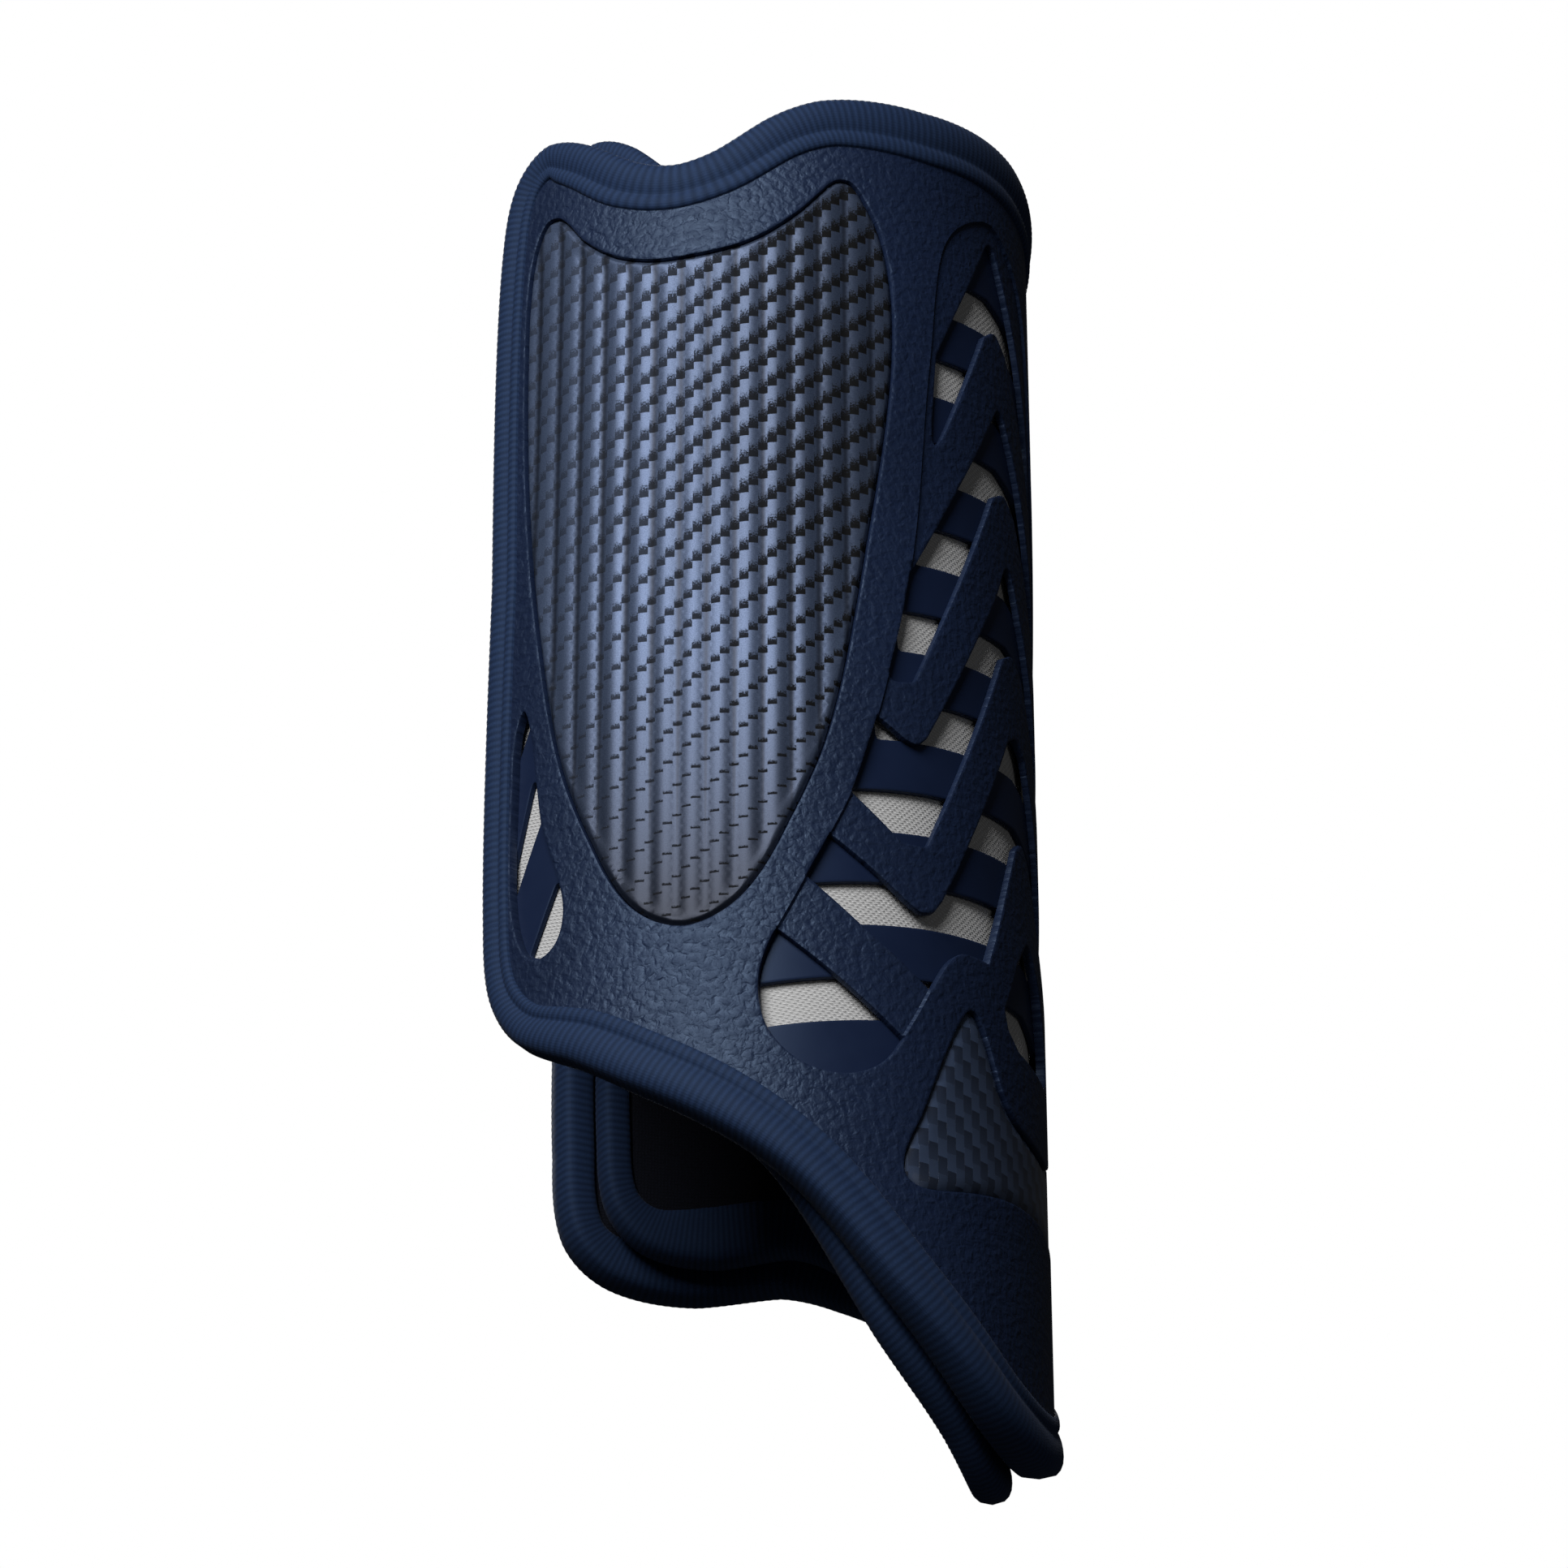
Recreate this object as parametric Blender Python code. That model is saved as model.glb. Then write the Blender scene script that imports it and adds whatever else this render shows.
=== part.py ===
"""Wrap-around shin guard: a moulded shell over a removable bound liner, closed by two straps.

Every layer is a sheet laid on one upright horn-shaped section. A place on a sheet is given in
millimetres as (s, z, d): s runs round the section from the middle of the shin (negative towards
the wearer's right), z is height, and d is depth inwards from the shell's outer face.
Frame: origin on the leg's axis, +Z up, the front of the shin faces -Y.
"""

import math

import bmesh
import bpy
from mathutils import Vector
from mathutils.geometry import delaunay_2d_cdt

MM = 0.001

# ---- section of the guard, mm and degrees ----
FRONT_RADIUS = 57.0
WING_RADIUS = 73.0
FRONT_HALF_ANGLE = 66.0
COLUMN = 9.5            # width of the flat strips that every curved sheet is made of
GAP = 0.3               # clearance between neighbouring pieces

# ---- depths of the layers, mm inwards from the shell's outer face ----
SHELL = (0.0, 2.0)
PLATE = (0.3, 1.9)
SLATS = (2.3, 3.1)
MESH = (3.4, 3.9)
SHELL_FOAM = (2.3, 5.6)
SHELL_LINING = (5.9, 6.3)
HOOK_PAD = (6.6, 8.2)
LOOP_PAD = (8.5, 10.0)
LINER_BACKING = (10.3, 10.7)
LINER_FOAM = (11.0, 14.0)
LINER_FACING = (14.3, 14.7)
ANCHOR = (7.8, 8.9)
LANDING_PAD = (-1.4, -0.3)
HOOK_TAB = (-2.7, -1.7)
STRAP_DEPTH = -3.55
STRAP_THICKNESS = 1.1

# ---- edge binding, mm ----
BINDING_SIDE_WIDTH = 8.0
BINDING_END_WIDTH = 14.0
BINDING_LIP = 2.3       # from the outer edge of the tape to the edge of the layers inside it
EDGE_TURN = 14.0        # degrees that an edge may turn between two of its points

# ---- straps, mm ----
STRAP_WIDTH = 38.0
STRAP_HEIGHTS = {"upper": 85.0, "lower": -5.0}
HINGE_S = -135.0
HINGE_DEPTH = 8.3
STRAP_FREE_END_S = 120.0

# ---- front vent ----
LEAN = -0.065           # the middle line of the front vent leans this much per mm of height
SLOT_TOP = 97.9
SLOT_PITCH = 21.25
SLOT_HEIGHT = 9.4
SLOT_FALL = 0.16        # slots fall towards the sides
SLOT_HALF_WIDTHS = (22.0, 24.0, 26.5, 30.5, 36.5, 43.5, 50.0, 61.5, 72.5)

# ---- mirror lines of the two sides ----
SIDE_MIRROR = -2.5

# Outer edge of the shell's binding, from the right wing over the top to the left wing and back.
SHELL_EDGE = [
    (-132.5, -52), (-132.5, 30), (-131.5, 116), (-126.5, 132), (-117, 137.5), (-104, 131.5),
    (-95, 125), (-86, 122), (-77, 124.5), (-67, 131.5), (-55, 137.5), (-30, 141.5), (0, 145.5),
    (30, 143), (50, 138.5), (62, 132), (72, 125), (81, 122), (90, 125), (100, 131.5),
    (114, 138), (135, 139), (153, 136.5), (161, 128), (163, 112), (163, 0), (163, -62),
    (160, -82), (150, -90.5), (130, -93.5), (112, -92), (100, -96.5), (86, -105), (72, -117),
    (58, -130), (46, -142), (35, -151), (25, -158), (15, -163), (5, -165.5), (-5, -164.8),
    (-14.3, -161.4), (-24, -155), (-33, -147.7), (-42, -139.5), (-51, -129.7), (-60, -120.5),
    (-71, -112), (-83, -104.5), (-96, -97), (-108, -89.5), (-121, -82), (-129.5, -70),
]
# The liner's own edge: inside the shell's at the wings, proud of it at the nose and at the top.
LINER_EDGE = [
    (-127.5, -52), (-127.5, 30), (-126.5, 118), (-121.7, 136.5), (-112.6, 142), (-100, 136.5),
    (-91.4, 129), (-82.7, 125), (-74, 127), (-64.5, 134), (-53, 140), (-29, 144.5), (0, 148),
    (29, 145.5), (48, 141), (59.6, 135), (69.3, 128), (78, 125.5), (86.6, 129.5), (96.2, 137),
    (109.7, 142), (129.9, 144.5), (147.2, 144), (154.9, 135.5), (156.8, 119.5), (156.8, 0),
    (156.8, -62), (153.9, -78), (144.3, -86.5), (125, -89.5), (107.7, -88), (96.2, -92.5),
    (82.7, -103), (69.3, -119), (56, -136), (45, -149), (36, -156.6), (27.5, -162.4), (18.5, -166.6),
    (9, -169), (0, -167.4), (-11, -162.6), (-25, -154.9), (-37, -145.8), (-47, -134.7),
    (-56, -123.5), (-66.5, -112), (-79, -102), (-92.4, -93.5), (-104, -86), (-116.4, -78),
    (-124.6, -67),
]

# Right half of each chevron opening, in the leaning frame of the vent: u from the middle, z.
VENT_OPENINGS = [
    [(0, 119.5), (-16.1, 90.1), (-21.5, 79.5), (-25.8, 51), (-4.9, 92), (0, 96)],
    [(0, 77.5), (-4.5, 70.2), (-12.6, 56.7), (-19.1, 46), (-32.6, 23), (-39.4, 0.5), (-37.6, -4.5),
     (-34.1, -3.5), (-5.2, 52.5), (0, 55.8)],
    [(0, 40), (-5.8, 28.2), (-14.7, 13.4), (-20.4, 3.6), (-28.4, -10.2), (-31.6, -15.7),
     (-34.4, -18.5), (-37.4, -17.9), (-43.8, -13.8), (-46.6, -21.2), (-50.5, -32.8), (-40.1, -42),
     (-34.1, -41.7), (-5.2, 13.8), (0, 17.2)],
    [(0, -2.4), (-4.4, -5.4), (-30.6, -52.5), (-33.4, -56.2), (-36.9, -57.2), (-40.4, -55.2),
     (-56.2, -43.0), (-61.4, -53.1), (-49.4, -64), (-35.5, -74.3), (-30.3, -65.4), (-25.6, -62.8),
     (-19.6, -62.4), (-3.8, -29.8), (0, -26.4)],
]
SIDE_OPENING = [
    (-68.3, -65.5), (-71.8, -72.6), (-72.8, -78.6), (-72.2, -86), (-69.2, -91.8), (-63.2, -96.2),
    (-55.8, -96.8), (-50.1, -94.7), (-43.2, -86.4),
]
LOWER_OPENING = [(0, -49), (-6.8, -57.4), (-13.6, -70.6), (-12.6, -74.6), (-8.4, -77.6), (0, -77.8)]
VENT_PANEL = [
    (0, 125), (-13.6, 120), (-22.1, 111), (-25.6, 97), (-27.3, 78), (-30.6, 50), (-36.1, 24),
    (-43.1, 0), (-49.6, -14), (-54.6, -34), (-60.6, -42), (-66.6, -53), (-73.6, -64), (-77.1, -77),
    (-76.1, -89), (-71.6, -97), (-64.6, -100.5), (-55.6, -101.5), (-43.6, -98), (-23.6, -93),
    (0, -91),
]

# Shield plate about its own middle line: the half towards the shin and the half towards the calf.
SHIELD_MIDDLE = -82.5
SHIELD_INNER = [
    (0, -64), (8, -61), (14.5, -54), (21, -41), (27.5, -25), (31.5, -10), (34.9, 8), (38, 27.5),
    (41.3, 48), (43.8, 68), (44.4, 86), (43.2, 98), (41, 106.5), (38, 112.5), (34.8, 116.8),
    (31.6, 116.8), (28.6, 114), (24.3, 108.9), (17.2, 102.8), (10, 99.2), (0, 97.6),
]
SHIELD_OUTER = [
    (8, -61), (14.5, -54), (21, -41), (27.5, -25), (31.5, -10), (34.8, 8), (37.7, 27.5),
    (40.2, 55), (41, 84), (40.5, 100), (38.5, 111), (35, 116.8), (31.5, 116.3), (25.5, 108.5),
    (17, 101.2), (8, 97.9),
]
# Half of the instep plate, in the leaning frame.
INSTEP = [
    (0, -95.5), (-8.6, -95), (-13.2, -93.3), (-16.8, -89.4), (-20, -82), (-23.1, -76.5),
    (-25.1, -75.3), (-27.1, -76.8), (-34.2, -89.3), (-40.4, -103), (-45.1, -112.6),
    (-45.1, -116.8), (-42.1, -118.5), (-31.6, -116.7), (-18.1, -113.6), (0, -112),
]

# Rear vent of the right wing and the three slanting slots behind it.
REAR_VENT = [
    (-121.5, -4), (-123.6, -9), (-124.3, -20), (-124.3, -45), (-122.6, -55), (-119.5, -61.5),
    (-115.5, -63.8), (-111.5, -61.5), (-109.8, -55), (-111.5, -46), (-116, -32.5), (-119, -12),
]
REAR_SLOTS = [
    [(-125.2, -15), (-124.8, -7), (-122, -2.4), (-119.9, -3.4)],
    [(-125.6, -38.6), (-119.9, -19.2), (-116.6, -28.4), (-125.6, -47.6)],
    [(-120, -61.2), (-112.7, -46), (-109.3, -51), (-109.8, -58), (-114, -63.5)],
]

PAD_PLACES = {
    "upper_right": (-60.0, 92.0), "upper_left": (60.0, 92.0),
    "lower_right": (-70.0, -70.0), "lower_left": (78.0, -68.0),
}
PAD_HALF = (11.0, 14.0)

COLOURS = {
    "navy_shell": ((0.018, 0.035, 0.085), 0.55, 0.0),
    "navy_slat": ((0.022, 0.040, 0.090), 0.40, 0.0),
    "silver_mesh": ((0.42, 0.41, 0.40), 0.75, 0.0),
    "blue_twill": ((0.16, 0.22, 0.36), 0.25, 0.2),
    "dark_twill": ((0.05, 0.07, 0.11), 0.30, 0.2),
    "navy_tape": ((0.015, 0.030, 0.075), 0.80, 0.0),
    "dark_foam": ((0.02, 0.02, 0.025), 0.90, 0.0),
    "black_fabric": ((0.012, 0.012, 0.016), 0.90, 0.0),
    "hook_loop": ((0.02, 0.022, 0.03), 0.85, 0.0),
}


# ---------------------------------------------------------------- placing points
def middle_line(z):
    return LEAN * z


def arc(s, depth):
    """Point of the curved section at arc length s and a depth, in mm."""
    front_arc = FRONT_RADIUS * math.radians(FRONT_HALF_ANGLE)
    side = math.copysign(1.0, s)
    if abs(s) <= front_arc:
        angle = s / FRONT_RADIUS
        centre_x, centre_y, radius = 0.0, 0.0, FRONT_RADIUS
    else:
        turn = math.radians(FRONT_HALF_ANGLE)
        angle = side * (turn + (abs(s) - front_arc) / WING_RADIUS)
        shift = WING_RADIUS - FRONT_RADIUS
        centre_x = -side * shift * math.sin(turn)
        centre_y = shift * math.cos(turn)
        radius = WING_RADIUS
    reach = radius - depth
    return Vector((centre_x + reach * math.sin(angle), centre_y - reach * math.cos(angle)))


def plan(s, depth):
    """Point (x, y) on the flat strips that follow the curved section, in mm."""
    strip = math.floor(s / COLUMN)
    along = s / COLUMN - strip
    return arc(strip * COLUMN, depth).lerp(arc((strip + 1) * COLUMN, depth), along)


def place(s, z, depth):
    return Vector((*plan(s, depth), z)) * MM


# ---------------------------------------------------------------- outlines
def smooth_loop(points, step):
    """Closed centripetal spline through the points, sampled about every step mm."""
    out = []
    count = len(points)
    for i in range(count):
        p = [Vector(points[(i + k) % count]).to_2d() for k in (-1, 0, 1, 2)]
        knots = [0.0]
        for a, b in zip(p, p[1:]):
            knots.append(knots[-1] + math.sqrt((b - a).length))
        pieces = max(1, round((p[2] - p[1]).length / step))
        for j in range(pieces):
            t = knots[1] + (knots[2] - knots[1]) * j / pieces
            layer = p
            for level in (1, 2, 3):
                layer = [
                    layer[k] * ((knots[k + level] - t) / (knots[k + level] - knots[k]))
                    + layer[k + 1] * ((t - knots[k]) / (knots[k + level] - knots[k]))
                    for k in range(4 - level)
                ]
            out.append(tuple(layer[0]))
    return out


def fillet(points, radius, pieces=3):
    """Closed polygon with every corner rounded, the radius shrinking where sides are short."""
    out = []
    count = len(points)
    for i in range(count):
        before, here, after = (Vector(points[(i + k) % count]) for k in (-1, 0, 1))
        into, away = before - here, after - here
        turn = math.pi - into.angle(away)
        if turn < 0.25:
            out.append(tuple(here))
            continue
        cut = min(radius * math.tan(turn / 2), 0.42 * into.length, 0.42 * away.length)
        start, end = here + into.normalized() * cut, here + away.normalized() * cut
        for j in range(pieces + 1):
            t = j / pieces
            out.append(tuple((1 - t) ** 2 * start + 2 * t * (1 - t) * here + t * t * end))
    return out


def mirrored_about_middle(half):
    """Whole outline in (s, z) from the right half in the leaning frame of the front vent."""
    left = [(-u, z) for u, z in reversed(half) if abs(u) > 0.01]
    return half + left


def leaned(points):
    return [(u + middle_line(z), z) for u, z in points]


def to_left_side(points):
    return [(2 * SIDE_MIRROR - s, z) for s, z in reversed(points)]


def shield_outline(middle):
    inner = [(middle + u, z) for u, z in SHIELD_INNER]
    return inner + [(middle - u, z) for u, z in reversed(SHIELD_OUTER)]


def normals_of(points):
    """Outward unit normal at each point of a closed outline."""
    count = len(points)
    twice_area = sum(
        points[i][0] * points[(i + 1) % count][1] - points[(i + 1) % count][0] * points[i][1]
        for i in range(count)
    )
    sign = 1.0 if twice_area > 0 else -1.0
    out = []
    for i in range(count):
        along = Vector(points[(i + 1) % count]) - Vector(points[i - 1])
        along.normalize()
        out.append(Vector((along.y, -along.x)) * sign)
    return out


def grown(points, distance):
    return [tuple(Vector(p) + n * distance) for p, n in zip(points, normals_of(points))]


def snapped(points):
    """Outline with a point wherever it meets a column line, and no other point close to those."""
    marked = []
    for i, (s, z) in enumerate(points):
        next_s, next_z = points[(i + 1) % len(points)]
        marked.append((s, z, False))
        low, high = sorted((s, next_s))
        lines = [k * COLUMN for k in range(math.ceil(low / COLUMN), math.floor(high / COLUMN) + 1)]
        for line in sorted(lines, reverse=next_s < s):
            if low < line < high:
                t = (line - s) / (next_s - s)
                marked.append((line, z + (next_z - z) * t, True))
    out = []
    for i, (s, z, on_line) in enumerate(marked):
        here = Vector((s, z))
        others = [marked[i - 1], marked[(i + 1) % len(marked)]]
        if not on_line and any(o[2] and (Vector(o[:2]) - here).length < 0.8 for o in others):
            continue
        if not out or (Vector(out[-1]) - here).length > 0.3:
            out.append((s, z))
    if (Vector(out[0]) - Vector(out[-1])).length < 0.3:
        out.pop()
    return out


def edge_path(points):
    """Smooth closed edge that keeps a point only where it has turned far enough."""
    dense = smooth_loop(points, 2.0)
    kept = [dense[0]]
    heading = Vector(dense[1]) - Vector(dense[0])
    for here, after in zip(dense[1:], dense[2:] + dense[:1]):
        ahead = Vector(after) - Vector(here)
        if ahead.angle(heading) > math.radians(EDGE_TURN):
            kept.append(here)
            heading = ahead
    return kept


def distance_to(loop, point):
    """Shortest distance from a point to the sides of a closed outline."""
    nearest = []
    for i in range(len(loop)):
        start, end = Vector(loop[i - 1]), Vector(loop[i])
        side = end - start
        along = max(0.0, min(1.0, (point - start).dot(side) / side.length_squared))
        nearest.append((start + side * along - point).length)
    return min(nearest)


def inside(point, loop):
    x, y = point
    hit = False
    for i in range(len(loop)):
        (x0, y0), (x1, y1) = loop[i - 1], loop[i]
        if (y0 > y) != (y1 > y) and x < (x1 - x0) * (y - y0) / (y1 - y0) + x0:
            hit = not hit
    return hit


# ---------------------------------------------------------------- solids
def material(slot):
    found = bpy.data.materials.get(slot)
    if found:
        return found
    colour, roughness, metallic = COLOURS[slot]
    made = bpy.data.materials.new(slot)
    made.use_nodes = True
    shader = made.node_tree.nodes["Principled BSDF"]
    shader.inputs["Base Color"].default_value = (*colour, 1.0)
    shader.inputs["Roughness"].default_value = roughness
    shader.inputs["Metallic"].default_value = metallic
    return made


def make_object(name, vertices, faces, slot, origin=None):
    origin = origin or Vector((0.0, 0.0, 0.0))
    mesh = bpy.data.meshes.new(name)
    mesh.from_pydata([v - origin for v in vertices], [], faces)
    mesh.materials.append(material(slot))
    mesh.shade_smooth()
    mesh.set_sharp_from_angle(angle=math.radians(35))
    made = bpy.data.objects.new(name, mesh)
    made.location = origin
    bpy.context.scene.collection.objects.link(made)
    return made


def triangulated(loops):
    """Flat points in (s, z) and triangles of the area inside the first loop, cut at the columns."""
    points, edges = [], []
    for loop in loops:
        first = len(points)
        points += [Vector(p) for p in loop]
        edges += [(first + i, first + (i + 1) % len(loop)) for i in range(len(loop))]
    low_s, high_s = min(p.x for p in points), max(p.x for p in points)
    low_z, high_z = min(p.y for p in points) - 1.0, max(p.y for p in points) + 1.0
    for k in range(math.ceil(low_s / COLUMN), math.floor(high_s / COLUMN) + 1):
        points += [Vector((k * COLUMN, low_z)), Vector((k * COLUMN, high_z))]
        edges.append((len(points) - 2, len(points) - 1))
    flat, _, triangles, *_ = delaunay_2d_cdt(points, edges, [], 0, 1e-4)
    kept = []
    for triangle in triangles:
        middle = sum((flat[i] for i in triangle), Vector((0.0, 0.0))) / 3
        if inside(middle, loops[0]):
            kept.append((tuple(triangle), middle))
    return flat, kept


def rim_of(triangles):
    """Directed edges of the triangles that only one of them has."""
    directed = {(t[k], t[(k + 1) % 3]) for t in triangles for k in range(3)}
    return sorted((a, b) for a, b in directed if (b, a) not in directed)


def stacked(name, flat, caps, walls, slot):
    """Solid from caps (triangles, depth, inward) and walls (edges, from depth, to depth)."""
    number, vertices, faces = {}, [], []

    def corner(i, depth):
        if (i, depth) not in number:
            number[i, depth] = len(vertices)
            vertices.append(place(flat[i].x, flat[i].y, depth))
        return number[i, depth]

    for triangles, depth, inward in caps:
        for triangle in triangles:
            order = reversed(triangle) if inward else triangle
            faces.append(tuple(corner(i, depth) for i in order))
    for edges, start, end in walls:
        for a, b in edges:
            faces.append((corner(b, start), corner(a, start), corner(a, end), corner(b, end)))
    return make_object(name, vertices, faces, slot)


def sheet(name, outline, holes, depths, slot):
    """Closed solid between two depths, with the outline and holes given in (s, z)."""
    loops = [snapped(outline)] + [snapped(hole) for hole in holes]
    flat, found = triangulated(loops)
    kept = [t for t, middle in found if not any(inside(middle, hole) for hole in loops[1:])]
    low, high = depths
    caps = [(kept, low, False), (kept, high, True)]
    return stacked(name, flat, caps, [(rim_of(kept), low, high)], slot)


def binding(name, edge, depths, slot):
    """Tape folded round the edge of a stack of layers, one closed loop of U section."""
    path = edge_path(edge)
    inner = []
    for point, normal in zip(path, normals_of(path)):
        width = BINDING_SIDE_WIDTH + (BINDING_END_WIDTH - BINDING_SIDE_WIDTH) * normal.y**2
        at = Vector(point) - normal * width
        if distance_to(path, at) > width - 0.7:
            inner.append(tuple(at))
    loops = [snapped(path), snapped(grown(path, GAP - BINDING_LIP)), snapped(inner)]
    flat, found = triangulated(loops)
    tape = [t for t, middle in found if not inside(middle, loops[2])]
    flaps = [t for t, middle in found if inside(middle, loops[1]) and not inside(middle, loops[2])]
    low, high = depths
    outer_face, inner_face = low - 1.3, high + 1.2
    slot_top, slot_floor = low - GAP, high + GAP
    whole, groove = rim_of(tape), rim_of(flaps)
    outside = [e for e in whole if e not in set(groove)]
    free_edge = [e for e in groove if e in set(whole)]
    fold = [(b, a) for a, b in groove if (a, b) not in set(whole)]
    caps = [(tape, outer_face, False), (tape, inner_face, True),
            (flaps, slot_top, True), (flaps, slot_floor, False)]
    walls = [(outside, outer_face, inner_face), (free_edge, outer_face, slot_top),
             (free_edge, slot_floor, inner_face), (fold, slot_top, slot_floor)]
    return stacked(name, flat, caps, walls, slot)


def face_outwards(made):
    work = bmesh.new()
    work.from_mesh(made.data)
    bmesh.ops.recalc_face_normals(work, faces=work.faces)
    if work.calc_volume(signed=True) < 0:
        bmesh.ops.reverse_faces(work, faces=work.faces)
    work.to_mesh(made.data)
    work.free()


def strap_solid(name, height, slot):
    """Strap from the hinge line at the right wing's edge, over the gap, onto the left wing."""
    hinge = plan(HINGE_S, HINGE_DEPTH)
    folds = [COLUMN * k for k in range(17, 0, -1) if STRAP_FREE_END_S < COLUMN * k < 160]
    landing = [plan(s, STRAP_DEPTH) for s in [160.0] + folds + [STRAP_FREE_END_S]]
    corner = [plan(167.0, 1.5), plan(165.2, -2.2)]
    run = corner[0] - hinge
    start = hinge + run.normalized() * 1.2
    straight = [start + (corner[0] - start) * t for t in (0.0, 0.34, 0.67)]
    line = straight + corner + landing
    left, right = [], []
    for i, point in enumerate(line):
        along = line[min(i + 1, len(line) - 1)] - line[max(i - 1, 0)]
        along.normalize()
        across = Vector((-along.y, along.x)) * (STRAP_THICKNESS / 2)
        left.append(point + across)
        right.append(point - across)
    ring = left + right[::-1]
    size = len(ring)
    low, high = height - STRAP_WIDTH / 2, height + STRAP_WIDTH / 2
    vertices = [Vector((p.x, p.y, z)) * MM for z in (low, high) for p in ring]
    faces = [(i, (i + 1) % size, size + (i + 1) % size, size + i) for i in range(size)]
    last = len(line) - 1
    for i in range(last):
        a, b = i, i + 1
        c, d = size - 2 - i, size - 1 - i
        faces.append((d, c, b, a))
        faces.append((size + a, size + b, size + c, size + d))
    made = make_object(name, vertices, faces, slot, Vector((hinge.x, hinge.y, height)) * MM)
    face_outwards(made)
    return made


def rectangle(middle_s, middle_z, half_s, half_z, radius=3.0):
    corners = [(-1, -1), (1, -1), (1, 1), (-1, 1)]
    return fillet([(middle_s + a * half_s, middle_z + b * half_z) for a, b in corners], radius)


# ---------------------------------------------------------------- the outlines of the pieces
def layer_outline(edge):
    """Edge of the layers held inside a binding."""
    return grown(edge_path(edge), -BINDING_LIP)


def front_openings():
    out = [leaned(fillet(mirrored_about_middle(half), 3.0)) for half in VENT_OPENINGS]
    out.append(leaned(fillet(mirrored_about_middle(LOWER_OPENING), 2.5)))
    right = fillet(SIDE_OPENING, 2.0)
    left = [(-u, z) for u, z in reversed(right)]
    return out + [leaned(right), leaned(left)]


def front_slots():
    out = []
    for k, half_width in enumerate(SLOT_HALF_WIDTHS):
        middle = SLOT_TOP + 10 * SLOT_FALL - SLOT_PITCH * k
        fall = SLOT_FALL * half_width
        rise, drop = middle + SLOT_HEIGHT / 2, middle - SLOT_HEIGHT / 2
        loop = [
            (0, rise), (-half_width, rise - fall), (-half_width, drop - fall), (0, drop),
            (half_width, drop - fall), (half_width, rise - fall),
        ]
        out.append(leaned(loop))
    return out


def rear_slots():
    return [fillet(points, 1.0) for points in REAR_SLOTS]


# ---------------------------------------------------------------- the pieces
def build_outer_guard():
    edge = layer_outline(SHELL_EDGE)
    shield_right = shield_outline(SHIELD_MIDDLE)
    shield_left = to_left_side(shield_right)
    instep = leaned(mirrored_about_middle(INSTEP))
    vent_right = smooth_loop(REAR_VENT, 6.0)
    vent_left = to_left_side(vent_right)
    plates = [shield_right, shield_left, instep]
    sheet("outer_shell", edge, plates + front_openings() + [vent_right, vent_left], SHELL,
          "navy_shell")
    sheet("shield_plate_right", grown(shield_right, -GAP), [], PLATE, "blue_twill")
    sheet("shield_plate_left", grown(shield_left, -GAP), [], PLATE, "blue_twill")
    sheet("instep_plate", grown(instep, -GAP), [], PLATE, "dark_twill")

    panel = leaned(mirrored_about_middle(VENT_PANEL))
    rear_panel = grown(vent_right, 3.0)
    sheet("front_slat_panel", panel, front_slots(), SLATS, "navy_slat")
    sheet("front_mesh", panel, [], MESH, "silver_mesh")
    slots = rear_slots()
    for side, outline, cuts in (
        ("right", rear_panel, slots),
        ("left", to_left_side(rear_panel), [to_left_side(slot) for slot in slots]),
    ):
        sheet(f"rear_slat_panel_{side}", outline, cuts, SLATS, "navy_slat")
        sheet(f"rear_mesh_{side}", outline, [], MESH, "silver_mesh")

    pockets = [grown(panel, 0.5), grown(rear_panel, 0.5), grown(to_left_side(rear_panel), 0.5)]
    sheet("shell_foam", edge, pockets, SHELL_FOAM, "dark_foam")
    sheet("shell_lining", edge, [], SHELL_LINING, "black_fabric")
    binding("shell_binding", SHELL_EDGE, (SHELL[0], SHELL_LINING[1]), "navy_tape")


def build_liner():
    edge = layer_outline(LINER_EDGE)
    sheet("liner_backing", edge, [], LINER_BACKING, "black_fabric")
    sheet("liner_foam", edge, [], LINER_FOAM, "dark_foam")
    sheet("liner_facing", edge, [], LINER_FACING, "black_fabric")
    binding("liner_binding", LINER_EDGE, (LINER_BACKING[0], LINER_FACING[1]), "navy_tape")


def build_liner_fastenings():
    for where, (s, z) in PAD_PLACES.items():
        outline = rectangle(s, z, *PAD_HALF)
        sheet(f"liner_hook_pad_{where}", outline, [], HOOK_PAD, "hook_loop")
        sheet(f"liner_loop_pad_{where}", outline, [], LOOP_PAD, "hook_loop")


def build_straps():
    half = STRAP_WIDTH / 2
    for where, height in STRAP_HEIGHTS.items():
        sheet(f"strap_{where}_anchor", rectangle(-119.5, height, 14.0, half, 2.0), [], ANCHOR,
              "navy_tape")
        strap_solid(f"strap_{where}", height, "navy_tape")
        sheet(f"strap_{where}_hook_tab", rectangle(136.0, height, 13.0, half - 3), [], HOOK_TAB,
              "hook_loop")
        sheet(f"strap_{where}_landing_pad", rectangle(138.0, height, 15.5, half - 1), [],
              LANDING_PAD, "hook_loop")


def main():
    for old in list(bpy.data.objects):
        bpy.data.objects.remove(old, do_unlink=True)
    build_outer_guard()
    build_liner()
    build_liner_fastenings()
    build_straps()


main()
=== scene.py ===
"""Looks of the wrap-around shin guard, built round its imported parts.

A place on a layer is given in millimetres as (s, z, d): s runs round the section from the middle
of the shin (negative towards the wearer's right), z is height, and d is depth inwards from the
shell's outer face. The frame is the part's own: +Z up, the front of the shin faces -Y.
"""

import math

import bpy
import numpy as np
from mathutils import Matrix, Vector
from mathutils.geometry import delaunay_2d_cdt
from mathutils.kdtree import KDTree


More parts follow.
